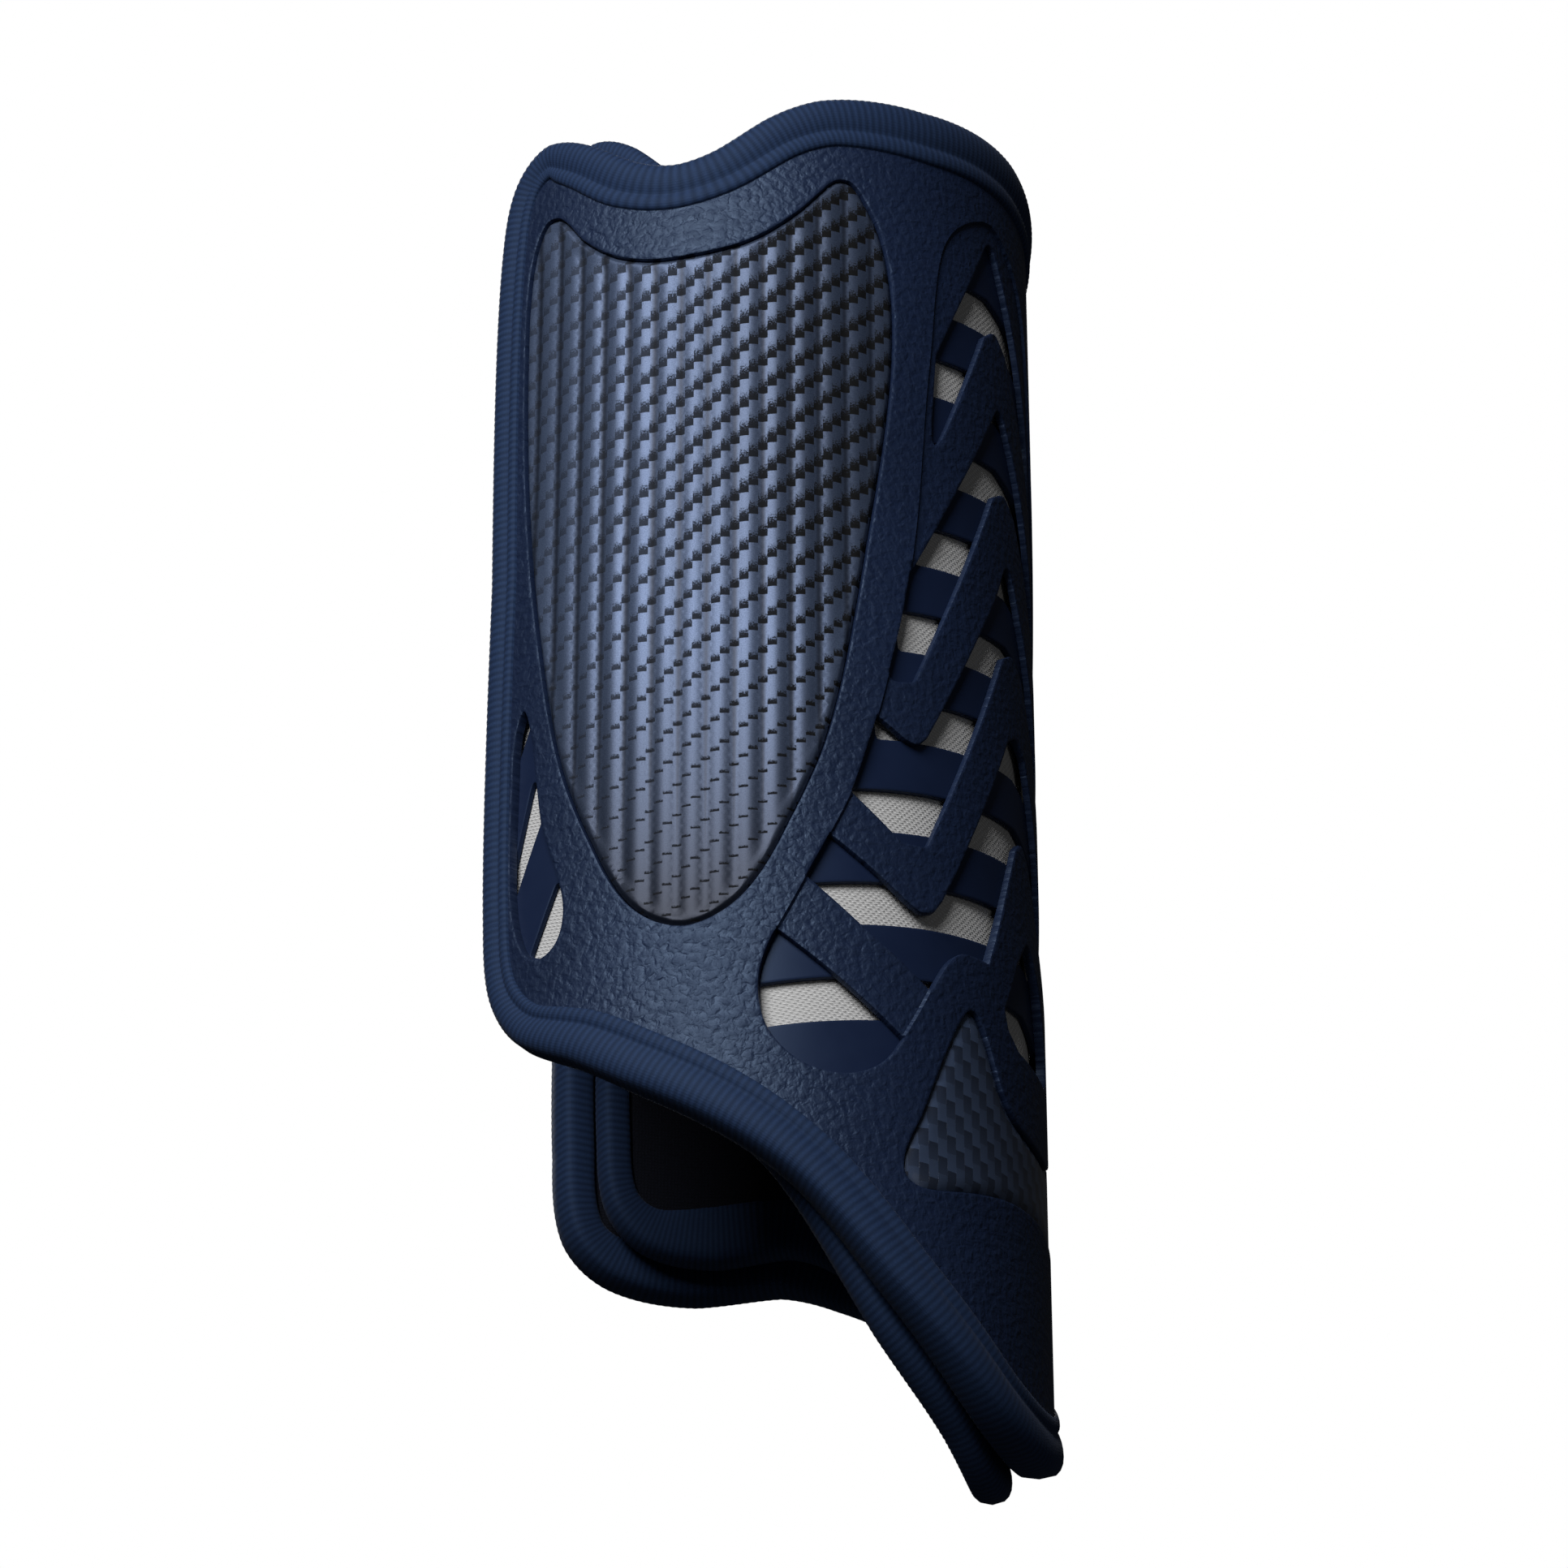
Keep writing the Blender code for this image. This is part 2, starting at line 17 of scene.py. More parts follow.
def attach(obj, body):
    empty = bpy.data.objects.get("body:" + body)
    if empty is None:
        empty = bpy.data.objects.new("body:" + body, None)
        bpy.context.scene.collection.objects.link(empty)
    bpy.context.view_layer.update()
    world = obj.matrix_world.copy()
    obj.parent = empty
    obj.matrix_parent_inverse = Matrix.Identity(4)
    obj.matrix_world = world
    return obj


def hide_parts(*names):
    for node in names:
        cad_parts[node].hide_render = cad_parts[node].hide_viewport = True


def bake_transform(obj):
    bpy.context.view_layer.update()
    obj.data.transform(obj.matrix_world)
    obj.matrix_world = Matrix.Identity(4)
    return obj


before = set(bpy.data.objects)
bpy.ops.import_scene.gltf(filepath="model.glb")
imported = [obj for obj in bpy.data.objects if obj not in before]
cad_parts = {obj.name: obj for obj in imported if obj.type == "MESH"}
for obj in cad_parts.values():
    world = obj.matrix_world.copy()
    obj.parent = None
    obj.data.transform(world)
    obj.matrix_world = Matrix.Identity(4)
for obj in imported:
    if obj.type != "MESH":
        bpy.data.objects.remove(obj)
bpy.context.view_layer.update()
MM = 0.001
GUARD = "guard"

# ---- section of the guard, mm ----
FRONT_RADIUS = 57.0
WING_RADIUS = 73.0
FRONT_TURN = math.radians(66.0)

# ---- depths of the layers, mm ----
SHELL_BACK = 2.0
SLATS = (2.04, 3.1)
MESH = (3.4, 3.9)
SHELL_FOAM = (2.3, 5.6)
SHELL_LINING = (5.9, 6.3)
HOOK_PAD = (6.6, 8.3)
LOOP_PAD = (8.4, 10.0)
LINER_BACKING = (10.3, 10.7)
LINER_FOAM = (11.0, 14.0)
LINER_FACING = (14.3, 14.7)
STRAP_MIDDLE = 8.35
HOOK_TAB = (-2.75, -1.75)
LANDING_PAD = (-1.4, -0.05)
RIB_RECESS = 0.6

# ---- spacing of the points along outlines, mm ----
FINE_STEP = 0.9
EDGE_STEP = 1.5
CLOTH_STEP = 2.5

# ---- spacing of the points inside faces, mm round and up ----
SHELL_GRID = (3.2, 4.0)
FLUTE_GRID = (0.65, 2.4)
INSTEP_GRID = (1.6, 2.0)
VENT_GRID = (4.0, 5.0)
REAR_GRID = (3.0, 4.0)
LINING_GRID = (6.0, 7.0)
LINER_GRID = (5.0, 6.0)
PAD_GRID = (2.0, 2.5)

# ---- edge binding, mm ----
SIDE_WIDTH = 8.0
END_WIDTH = 14.0
LIP = 2.3
RIB_STEP = 0.8
RIB_HEIGHT = 0.08

# ---- side and instep plates, mm ----
PLATE_GAP = 0.12
PLATE_BACK = 1.9
PLATE_RIM = 0.25
SHIELD_FRONT = 0.2
SHIELD_RIM_DROP = 0.75
INSTEP_FRONT = 0.35
INSTEP_RIM_DROP = 0.7
FLUTE_PITCH = 5.85
FLUTE_DEPTH = 0.85
YARN = FLUTE_PITCH / 3

# ---- straps, mm ----
STRAP_WIDTH = 38.0
STRAP_HEIGHTS = {"upper": 85.0, "lower": -5.0}
HINGE = (-41.1, 39.22)  # x, y of the upright line that both straps swing about
BEND_REACH = 4.5
HOOK_TAB_MIDDLE = 136.0
HOOK_TAB_HALF = (13.0, STRAP_WIDTH / 2 - 3)
LANDING_MIDDLE = 138.0
LANDING_HALF = (15.5, STRAP_WIDTH / 2 - 1)
SEAM_FROM_END = (33.0, 4.0)
SEAM_HALF_HEIGHT = 15.5
STITCH_PITCH = 3.0
STITCH_HALF_LENGTH = 1.15

# ---- vents of the shell, mm ----
LEAN = -0.065
SLOT_TOP = 97.9  # height of the top slot, 10 mm out from the middle line
SLOT_PITCH = 21.25
SLOT_HEIGHT = 9.4
SLOT_FALL = 0.16
SLOT_HALF_WIDTHS = (22.0, 24.0, 26.5, 30.5, 36.5, 43.5, 50.0, 61.5, 72.5)
SIDE_MIRROR = -2.5  # the left pieces mirror the right ones about this arc length

# Outer edge of the shell's binding, from the right wing over the top to the left wing and back.
SHELL_EDGE = [
    (-132.5, -52), (-132.5, 30), (-131.5, 116), (-126.5, 132), (-117, 137.5), (-104, 131.5),
    (-95, 125), (-86, 122), (-77, 124.5), (-67, 131.5), (-55, 137.5), (-30, 141.5), (0, 145.5),
    (30, 143), (50, 138.5), (62, 132), (72, 125), (81, 122), (90, 125), (100, 131.5),
    (114, 138), (135, 139), (153, 136.5), (161, 128), (163, 112), (163, 0), (163, -62),
    (160, -82), (150, -90.5), (130, -93.5), (112, -92), (100, -96.5), (86, -105), (72, -117),
    (58, -130), (46, -142), (35, -151), (25, -158), (15, -163), (5, -165.5), (-5, -164.8),
    (-14.3, -161.4), (-24, -155), (-33, -147.7), (-42, -139.5), (-51, -129.7), (-60, -120.5),
    (-71, -112), (-83, -104.5), (-96, -97), (-108, -89.5), (-121, -82), (-129.5, -70),
]
# The liner's own edge: inside the shell's at the wings, proud of it at the nose and at the top.
LINER_EDGE = [
    (-127.5, -52), (-127.5, 30), (-126.5, 118), (-121.7, 136.5), (-112.6, 142), (-100, 136.5),
    (-91.4, 129), (-82.7, 125), (-74, 127), (-64.5, 134), (-53, 140), (-29, 144.5), (0, 148),
    (29, 145.5), (48, 141), (59.6, 135), (69.3, 128), (78, 125.5), (86.6, 129.5), (96.2, 137),
    (109.7, 142), (129.9, 144.5), (147.2, 144), (154.9, 135.5), (156.8, 119.5), (156.8, 0),
    (156.8, -62), (153.9, -78), (144.3, -86.5), (125, -89.5), (107.7, -88), (96.2, -92.5),
    (82.7, -103), (69.3, -119), (56, -136), (45, -149), (36, -156.6), (27.5, -162.4), (18.5, -166.6),
    (9, -169), (0, -167.4), (-11, -162.6), (-25, -154.9), (-37, -145.8), (-47, -134.7),
    (-56, -123.5), (-66.5, -112), (-79, -102), (-92.4, -93.5), (-104, -86), (-116.4, -78),
    (-124.6, -67),
]

# Right half of each chevron opening, in the leaning frame of the vent: u from the middle, z.
# The outer corners of these and of the side opening run past the line of the sunken field,
# and front_openings() cuts them back to it.
VENT_OPENINGS = [
    [(0, 119.5), (-16.1, 90.1), (-21.5, 79.5), (-25.8, 51), (-4.9, 92), (0, 96)],
    [(0, 77.5), (-4.5, 70.2), (-12.6, 56.7), (-19.1, 46), (-32.6, 23), (-34.5, 21.5),
     (-41.2, -0.5), (-39.6, -4.9), (-34.1, -3.5), (-5.2, 52.5), (0, 55.8)],
    [(0, 40), (-5.8, 28.2), (-14.7, 13.4), (-20.4, 3.6), (-28.4, -10.2), (-31.6, -15.7),
     (-34.4, -18.5), (-37.4, -17.9), (-45.2, -12.9), (-48.6, -21.2), (-51.8, -31.7), (-40.1, -42),
     (-34.1, -41.7), (-5.2, 13.8), (0, 17.2)],
    [(0, -2.4), (-4.4, -5.4), (-30.6, -52.5), (-33.4, -56.2), (-36.9, -57.2), (-40.4, -55.2),
     (-57.6, -42.0), (-62.8, -52.0), (-49.4, -64), (-34.6, -75.0), (-29.6, -66.4), (-25.4, -63.8),
     (-19.4, -63.4), (-3.8, -29.8), (0, -26.4)],
]
SIDE_OPENING = [
    (-69.7, -64.4), (-75, -72), (-75, -92), (-66, -100), (-50, -100), (-42.3, -87.3),
]
LOWER_OPENING = [(0, -49), (-6.8, -57.4), (-13.6, -70.6), (-12.6, -74.6), (-8.4, -77.6), (0, -77.8)]
# The slat panel and the mesh behind the front vent: right half, in the leaning frame.
VENT_PANEL = [
    (0, 125), (-13.6, 120), (-22.1, 111), (-25.6, 97), (-27.3, 78), (-30.6, 50), (-36.1, 24),
    (-43.1, 0), (-49.6, -14), (-54.6, -34), (-60.6, -42), (-66.6, -53), (-73.6, -64), (-77.1, -77),
    (-76.1, -89), (-71.6, -97), (-64.6, -100.5), (-55.6, -101.5), (-43.6, -98), (-23.6, -93),
    (0, -91),
]
# The sunken field that the chevron ribs cross: right half, in the leaning frame.
RIB_FIELD = [
    (0, 122.4), (-6, 120.2), (-10.1, 117.4), (-13.9, 113.9), (-17.1, 109.1), (-19.2, 103.5),
    (-21.2, 94.4), (-23.1, 82.5), (-25.7, 67.9), (-27.9, 53.5), (-30.3, 38), (-32.7, 25.5),
    (-34.6, 17.4), (-36.5, 9.7), (-38.6, 2.6), (-41, -5.3), (-43.4, -13), (-45.9, -20),
    (-48.4, -27), (-51.2, -33.9), (-54.8, -41), (-58.9, -48.6), (-62.7, -55.5), (-66, -61.5),
    (-69.2, -67.2), (-71.4, -72.2), (-72.6, -77), (-72.7, -82.5), (-71.5, -88), (-68.6, -92.3),
    (-64.5, -95.5), (-59, -96.9), (-54, -96.2), (-49.3, -93.7), (-45.3, -89.5), (-42.2, -84.9),
    (-39.2, -80), (-36.2, -74.8), (-32.9, -69.5), (-30.2, -65.8), (-27.2, -63.4), (-24, -62.6),
    (-19.8, -62.4), (-12, -62.2), (0, -62.2),
]

# Shield plate about its own middle line: the half towards the shin and the half towards the calf.
SHIELD_MIDDLE = -82.5
SHIELD_INNER = [
    (0, -64), (8, -61), (14.5, -54), (21, -41), (27.5, -25), (31.5, -10), (34.9, 8), (38, 27.5),
    (41.3, 48), (43.8, 68), (44.4, 86), (43.2, 98), (41, 106.5), (38, 112.5), (34.8, 116.8),
    (31.6, 116.8), (28.6, 114), (24.3, 108.9), (17.2, 102.8), (10, 99.2), (0, 97.6),
]
SHIELD_OUTER = [
    (8, -61), (14.5, -54), (21, -41), (27.5, -25), (31.5, -10), (34.8, 8), (37.7, 27.5),
    (40.2, 55), (41, 84), (40.5, 100), (38.5, 111), (35, 116.8), (31.5, 116.3), (25.5, 108.5),
    (17, 101.2), (8, 97.9),
]
# Half of the instep plate, in the leaning frame.
INSTEP = [
    (0, -95.5), (-8.6, -95), (-13.2, -93.3), (-16.8, -89.4), (-20, -82), (-23.1, -76.5),
    (-25.1, -75.3), (-27.1, -76.8), (-34.2, -89.3), (-40.4, -103), (-45.1, -112.6),
    (-45.1, -116.8), (-42.1, -118.5), (-31.6, -116.7), (-18.1, -113.6), (0, -112),
]
# Vent of the right wing, and the three slots of the panel behind it.
REAR_VENT = [
    (-121.5, -4), (-123.6, -9), (-124.3, -20), (-124.3, -45), (-122.6, -55), (-119.5, -61.5),
    (-115.5, -63.8), (-111.5, -61.5), (-109.8, -55), (-111.5, -46), (-116, -32.5), (-119, -12),
]
REAR_SLOTS = [
    [(-125.2, -15), (-124.8, -7), (-122, -2.4), (-119.9, -3.4)],
    [(-125.6, -38.6), (-119.9, -19.2), (-116.6, -28.4), (-125.6, -47.6)],
    [(-120, -61.2), (-112.7, -46), (-109.3, -51), (-109.8, -58), (-114, -63.5)],
]
PAD_PLACES = {
    "upper_right": (-60.0, 92.0), "upper_left": (60.0, 92.0),
    "lower_right": (-70.0, -70.0), "lower_left": (78.0, -68.0),
}
PAD_HALF = (11.0, 14.0)
PAD_CORNER = 2.5

# ---- camera and floor, degrees and metres ----
CAMERA_TURN = -66.0
CAMERA_TILT = -30.0
CAMERA_DISTANCE = 1.3036
CAMERA_SHIFT = 0.0098
LENS_MM = 141.6
SENSOR_MM = 36.0
FLOOR_REACH = 30.0
FLOOR_HEIGHT = -1.6


# ---------------------------------------------------------------- outlines
def section(s, depth):
    """Points (x, y) of the curved section, in mm, for arrays of arc lengths and depths."""
    s = np.asarray(s, float)
    side = np.sign(s)
    front = FRONT_RADIUS * FRONT_TURN
    wing = np.abs(s) > front
    angle = np.where(wing, side * (FRONT_TURN + (np.abs(s) - front) / WING_RADIUS), s / FRONT_RADIUS)
    shift = WING_RADIUS - FRONT_RADIUS
    centre_x = np.where(wing, -side * shift * math.sin(FRONT_TURN), 0.0)
    centre_y = np.where(wing, shift * math.cos(FRONT_TURN), 0.0)
    reach = np.where(wing, WING_RADIUS, FRONT_RADIUS) - depth
    return centre_x + reach * np.sin(angle), centre_y - reach * np.cos(angle)


def placed(s, z, depth):
    x, y = section(s, depth)
    return np.stack([x, y, np.broadcast_to(z, x.shape)], axis=-1) * MM


def smooth_loop(points, step):
    """Closed centripetal spline through the points, sampled about every step mm."""
    out = []
    count = len(points)
    for i in range(count):
        p = [np.array(points[(i + k) % count], float) for k in (-1, 0, 1, 2)]
        knots = [0.0]
        for a, b in zip(p, p[1:]):
            knots.append(knots[-1] + math.sqrt(np.linalg.norm(b - a)))
        pieces = max(1, round(np.linalg.norm(p[2] - p[1]) / step))
        for j in range(pieces):
            t = knots[1] + (knots[2] - knots[1]) * j / pieces
            row = p
            for order in (1, 2, 3):
                row = [
                    row[k] * ((knots[k + order] - t) / (knots[k + order] - knots[k]))
                    + row[k + 1] * ((t - knots[k]) / (knots[k + order] - knots[k]))
                    for k in range(4 - order)
                ]
            out.append(row[0])
    return np.array(out)


def resampled(loop, step):
    """Closed polyline with corners kept and every side cut into pieces of about step mm."""
    out = []
    for a, b in zip(loop, np.roll(loop, -1, axis=0)):
        pieces = max(1, math.ceil(np.linalg.norm(b - a) / step))
        out += [a + (b - a) * (k / pieces) for k in range(pieces)]
    return np.array(out)


def filleted(points, radius, pieces=6):
    """Closed polygon with every corner rounded, the radius shrinking where sides are short."""
    out = []
    count = len(points)
    for i in range(count):
        before, here, after = (Vector(points[(i + k) % count]) for k in (-1, 0, 1))
        into, away = before - here, after - here
        turn = math.pi - into.angle(away)
        if turn < 0.12:
            out.append(tuple(here))
            continue
        cut = min(radius * math.tan(turn / 2), 0.42 * into.length, 0.42 * away.length)
        start, end = here + into.normalized() * cut, here + away.normalized() * cut
        for j in range(pieces + 1):
            t = j / pieces
            out.append(tuple((1 - t) ** 2 * start + 2 * t * (1 - t) * here + t * t * end))
    return resampled(np.array(out), FINE_STEP)


def whole(half):
    """Whole outline from its right half, both sides alike about u = 0."""
    return half + [(-u, z) for u, z in reversed(half) if abs(u) > 0.01]


def leaned(points):
    points = np.array(points, float)
    points[:, 0] += LEAN * points[:, 1]
    return points


def to_left_side(points):
    points = np.array(points, float)[::-1].copy()
    points[:, 0] = 2 * SIDE_MIRROR - points[:, 0]
    return points


def outward(loop):
    """Unit normals that point out of a closed outline."""
    along = np.roll(loop, -1, axis=0) - np.roll(loop, 1, axis=0)
    along /= np.maximum(np.linalg.norm(along, axis=1, keepdims=True), 1e-9)
    after = np.roll(loop, -1, axis=0)
    turned = np.sum(loop[:, 0] * after[:, 1] - after[:, 0] * loop[:, 1]) > 0
    return np.stack([along[:, 1], -along[:, 0]], axis=1) * (1.0 if turned else -1.0)


def grown(loop, distance):
    return loop + outward(loop) * distance


def shield_outline():
    inner = [(SHIELD_MIDDLE + u, z) for u, z in SHIELD_INNER]
    outer = [(SHIELD_MIDDLE - u, z) for u, z in reversed(SHIELD_OUTER)]
    return smooth_loop(inner + outer, FINE_STEP)


def instep_outline():
    return leaned(smooth_loop(whole(INSTEP), FINE_STEP))


def rounded_rectangle(middle_s, middle_z, half_s, half_z):
    corners = [(-1, -1), (1, -1), (1, 1), (-1, 1)]
    return filleted([(middle_s + a * half_s, middle_z + b * half_z) for a, b in corners], PAD_CORNER)


def rib_field():
    return leaned(smooth_loop(whole(RIB_FIELD), 0.8))


def front_openings():
    """The openings end at the line of the sunken field, apart from the one inside the crown."""
    right = filleted(SIDE_OPENING, 1.0)
    cut = [filleted(whole(half), 2.6) for half in VENT_OPENINGS] + [right, right[::-1] * (-1, 1)]
    field = rib_field()
    lower = leaned(filleted(whole(LOWER_OPENING), 2.4))
    return [clipped(leaned(hole), field) for hole in cut] + [lower]


def front_slots():
    out = []
    for k, half_width in enumerate(SLOT_HALF_WIDTHS):
        middle = SLOT_TOP + 10 * SLOT_FALL - SLOT_PITCH * k
        fall = SLOT_FALL * half_width
        rise, drop = middle + SLOT_HEIGHT / 2, middle - SLOT_HEIGHT / 2
        loop = [
            (0, rise), (-half_width, rise - fall), (-half_width, drop - fall), (0, drop),
            (half_width, drop - fall), (half_width, rise - fall),
        ]
        out.append(leaned(filleted(loop, 0.9)))
    return out


def rear_slots():
    return [filleted(points, 1.0) for points in REAR_SLOTS]


# ---------------------------------------------------------------- measuring in the flat
def within(points, loops):
    """True for each point that is inside an odd number of the loops."""
    order = np.argsort(points[:, 1])
    xs, ys = points[order, 0], points[order, 1]
    odd = np.zeros(len(points), bool)
    for loop in loops:
        for (x0, y0), (x1, y1) in zip(loop, np.roll(loop, -1, axis=0)):
            if y0 == y1:
                continue
            first, last = np.searchsorted(ys, sorted((y0, y1)))
            odd[first:last] ^= xs[first:last] < x0 + (x1 - x0) * (ys[first:last] - y0) / (y1 - y0)
    out = np.empty_like(odd)
    out[order] = odd
    return out


def distances(points, loops):
    """Distance from each point to the nearest point of the loops, which are closely sampled."""
    marks = np.vstack(loops)
    tree = KDTree(len(marks))
    for i, (s, z) in enumerate(marks):
        tree.insert((s, z, 0.0), i)
    tree.balance()
    return np.array([tree.find((s, z, 0.0))[2] for s, z in points])


def clipped(loop, field):
    """Part of a loop that lies inside the field, closed along the field's own line."""
    inside = within(loop, [field])
    if inside.all():
        return loop
    begin = next(i for i in range(len(loop)) if inside[i] and not inside[i - 1])
    loop, inside = np.roll(loop, -begin, axis=0), np.roll(inside, -begin)

    def crossing(a, b):
        for _ in range(14):
            middle = (a + b) / 2
            if within(middle[None], [field])[0]:
                a = middle
            else:
                b = middle
        return a

    def nearest(point):
        return int(np.argmin(np.linalg.norm(field - point, axis=1)))

    result, i, count = [], 0, len(loop)
    while i < count:
        if inside[i]:
            result.append(loop[i])
            i += 1
            continue
        j = i
        while j < count and not inside[j]:
            j += 1
        leave, enter = crossing(loop[i - 1], loop[i]), crossing(loop[j % count], loop[j - 1])
        first, last = nearest(leave), nearest(enter)
        ahead = (last - first) % len(field)
        step = 1 if ahead <= len(field) / 2 else -1
        chain = [field[(first + step * k) % len(field)]
                 for k in range((step * (last - first)) % len(field) + 1)]
        chain = [p for p in chain if min(np.linalg.norm(p - leave), np.linalg.norm(p - enter)) > 0.45]
        result += [leave] + chain + [enter]
        i = j
    return np.array(result)


def eased(value, start, end):
    t = np.clip((value - start) / (end - start), 0.0, 1.0)
    return t * t * (3 - 2 * t)


# ---------------------------------------------------------------- meshes
def new_piece(name, vertices, faces, flat, finish, keep_sharp=40.0):
    """Mesh object with smooth shading and a UV map of its flat place, in centimetres."""
    mesh = bpy.data.meshes.new(f"{name}_finished")
    mesh.from_pydata(np.asarray(vertices).tolist(), [], faces)
    mesh.validate()
    uv = mesh.uv_layers.new(name="flat")
    corner = np.empty(len(mesh.loops), np.int32)
    mesh.loops.foreach_get("vertex_index", corner)
    uv.data.foreach_set("uv", (np.asarray(flat, float)[corner] * 0.1).astype(np.float32).ravel())
    mesh.materials.append(finish)
    mesh.shade_smooth()
    mesh.set_sharp_from_angle(angle=math.radians(keep_sharp))
    piece = bpy.data.objects.new(mesh.name, mesh)
    bpy.context.scene.collection.objects.link(piece)
    return piece


def mount(piece, body, slot, *nodes):
    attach(piece, body)
    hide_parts(*nodes)
    return piece


def relief(name, outline, holes, front, back, finish, rim, step, creases):
    """Closed layer whose outer face follows front(s, z, distance to the rim).

    The rim of the outline and of each hole is rounded over, and creases are extra lines of
    points where the face changes level.
    """
    loops = [outline] + list(holes)
    points, fixed, edges = [], [], []
    for loop in loops:
        first = len(points)
        points += list(loop)
        fixed += [0.0] * len(loop)
        edges += [(first + i, first + (i + 1) % len(loop)) for i in range(len(loop))]
    candidates, reach = [], []
    for k, loop in enumerate(loops):
        inwards = -1.0 if k == 0 else 1.0
        for share in (0.35, 1.0, 1.5):
            candidates.append(grown(loop, inwards * rim * share))
            reach += [rim * share] * len(loop)
    for crease in creases:
        candidates.append(crease)
        reach += [0.0] * len(crease)
    candidates, reach = np.vstack(candidates), np.array(reach)
    gap = distances(candidates, loops)
    good = (gap > np.maximum(0.93 * reach, 0.25 * rim)) & within(candidates, loops)
    added = candidates[good]
    fixed += list(np.where(reach[good] > 0, reach[good], gap[good]))
    low, high = outline.min(axis=0), outline.max(axis=0)
    columns = np.arange(low[0] + step[0] / 2, high[0], step[0])
    rows = np.arange(low[1] + step[1] / 2, high[1], step[1])
    grid = np.array([(s, z + (k % 2) * step[1] / 2) for k, s in enumerate(columns) for z in rows])
    gap = distances(grid, loops + ([added] if len(added) else []))
    free = (gap > 0.45 * min(step)) & within(grid, loops)
    grid = grid[free]
    fixed += list(distances(grid, loops))
    points = np.vstack([np.array(points), added, grid])
    flat, _, triangles, origin, *_ = delaunay_2d_cdt(
        [Vector(p) for p in points.tolist()], edges, [], 0, 1e-5)
    rim_distance = np.array([fixed[o[0]] if o else 0.0 for o in origin])
    flat = np.array([tuple(p) for p in flat])
    triangles = np.array([tuple(t) for t in triangles])
    triangles = triangles[within(flat[triangles].mean(axis=1), loops)]
    used, triangles = np.unique(triangles, return_inverse=True)
    triangles = triangles.reshape(-1, 3)
    flat, rim_distance = flat[used], rim_distance[used]
    rounding = rim - np.sqrt(np.maximum(rim**2 - np.maximum(rim - rim_distance, 0.0) ** 2, 0.0))
    face = front(flat[:, 0], flat[:, 1], rim_distance) + rounding
    count = len(flat)
    vertices = np.vstack([placed(flat[:, 0], flat[:, 1], face),
                          placed(flat[:, 0], flat[:, 1], np.full(count, back))])
    directed = {(int(t[k]), int(t[(k + 1) % 3])) for t in triangles for k in range(3)}
    faces = triangles.tolist() + (triangles[:, ::-1] + count).tolist()
    faces += [(b, a, count + a, count + b) for a, b in sorted(directed) if (b, a) not in directed]
    return new_piece(name, vertices, faces, np.vstack([flat, flat]), finish)


def level(depth):
    return lambda s, z, rim_distance: np.full(len(s), depth)


def edge_with_normals(points):
    """Closely sampled edge at even steps, its smoothed outward normals and usable tape widths."""
    dense = smooth_loop(points, 1.0)
    after = np.roll(dense, -1, axis=0)
    length = np.concatenate([[0.0], np.cumsum(np.linalg.norm(after - dense, axis=1))])
    closed = np.vstack([dense, dense[:1]])
    count = 2 * round(length[-1] / RIB_STEP / 2)
    at = np.linspace(0.0, length[-1], count, endpoint=False)
    path = np.stack([np.interp(at, length, closed[:, k]) for k in (0, 1)], axis=1)
    normals = outward(path)
    kernel = 7
    smoothed = sum(np.roll(normals, k, axis=0) for k in range(-kernel, kernel + 1))
    normals = smoothed / np.linalg.norm(smoothed, axis=1, keepdims=True)
    turn = np.cross(normals, np.roll(normals, -3, axis=0))
    spin = np.sign(np.sum(turn))
    radius = 3 * RIB_STEP / np.maximum(turn * spin, 1e-4)
    widths = SIDE_WIDTH + (END_WIDTH - SIDE_WIDTH) * normals[:, 1] ** 2
    widths = np.minimum(widths, 0.86 * radius)
    wide = 14
    widths = np.min([np.roll(widths, k) for k in range(-wide, wide + 1)], axis=0)
    widths = sum(np.roll(widths, k) for k in range(-wide, wide + 1)) / (2 * wide + 1)
    return path, normals, widths, at, length[-1]


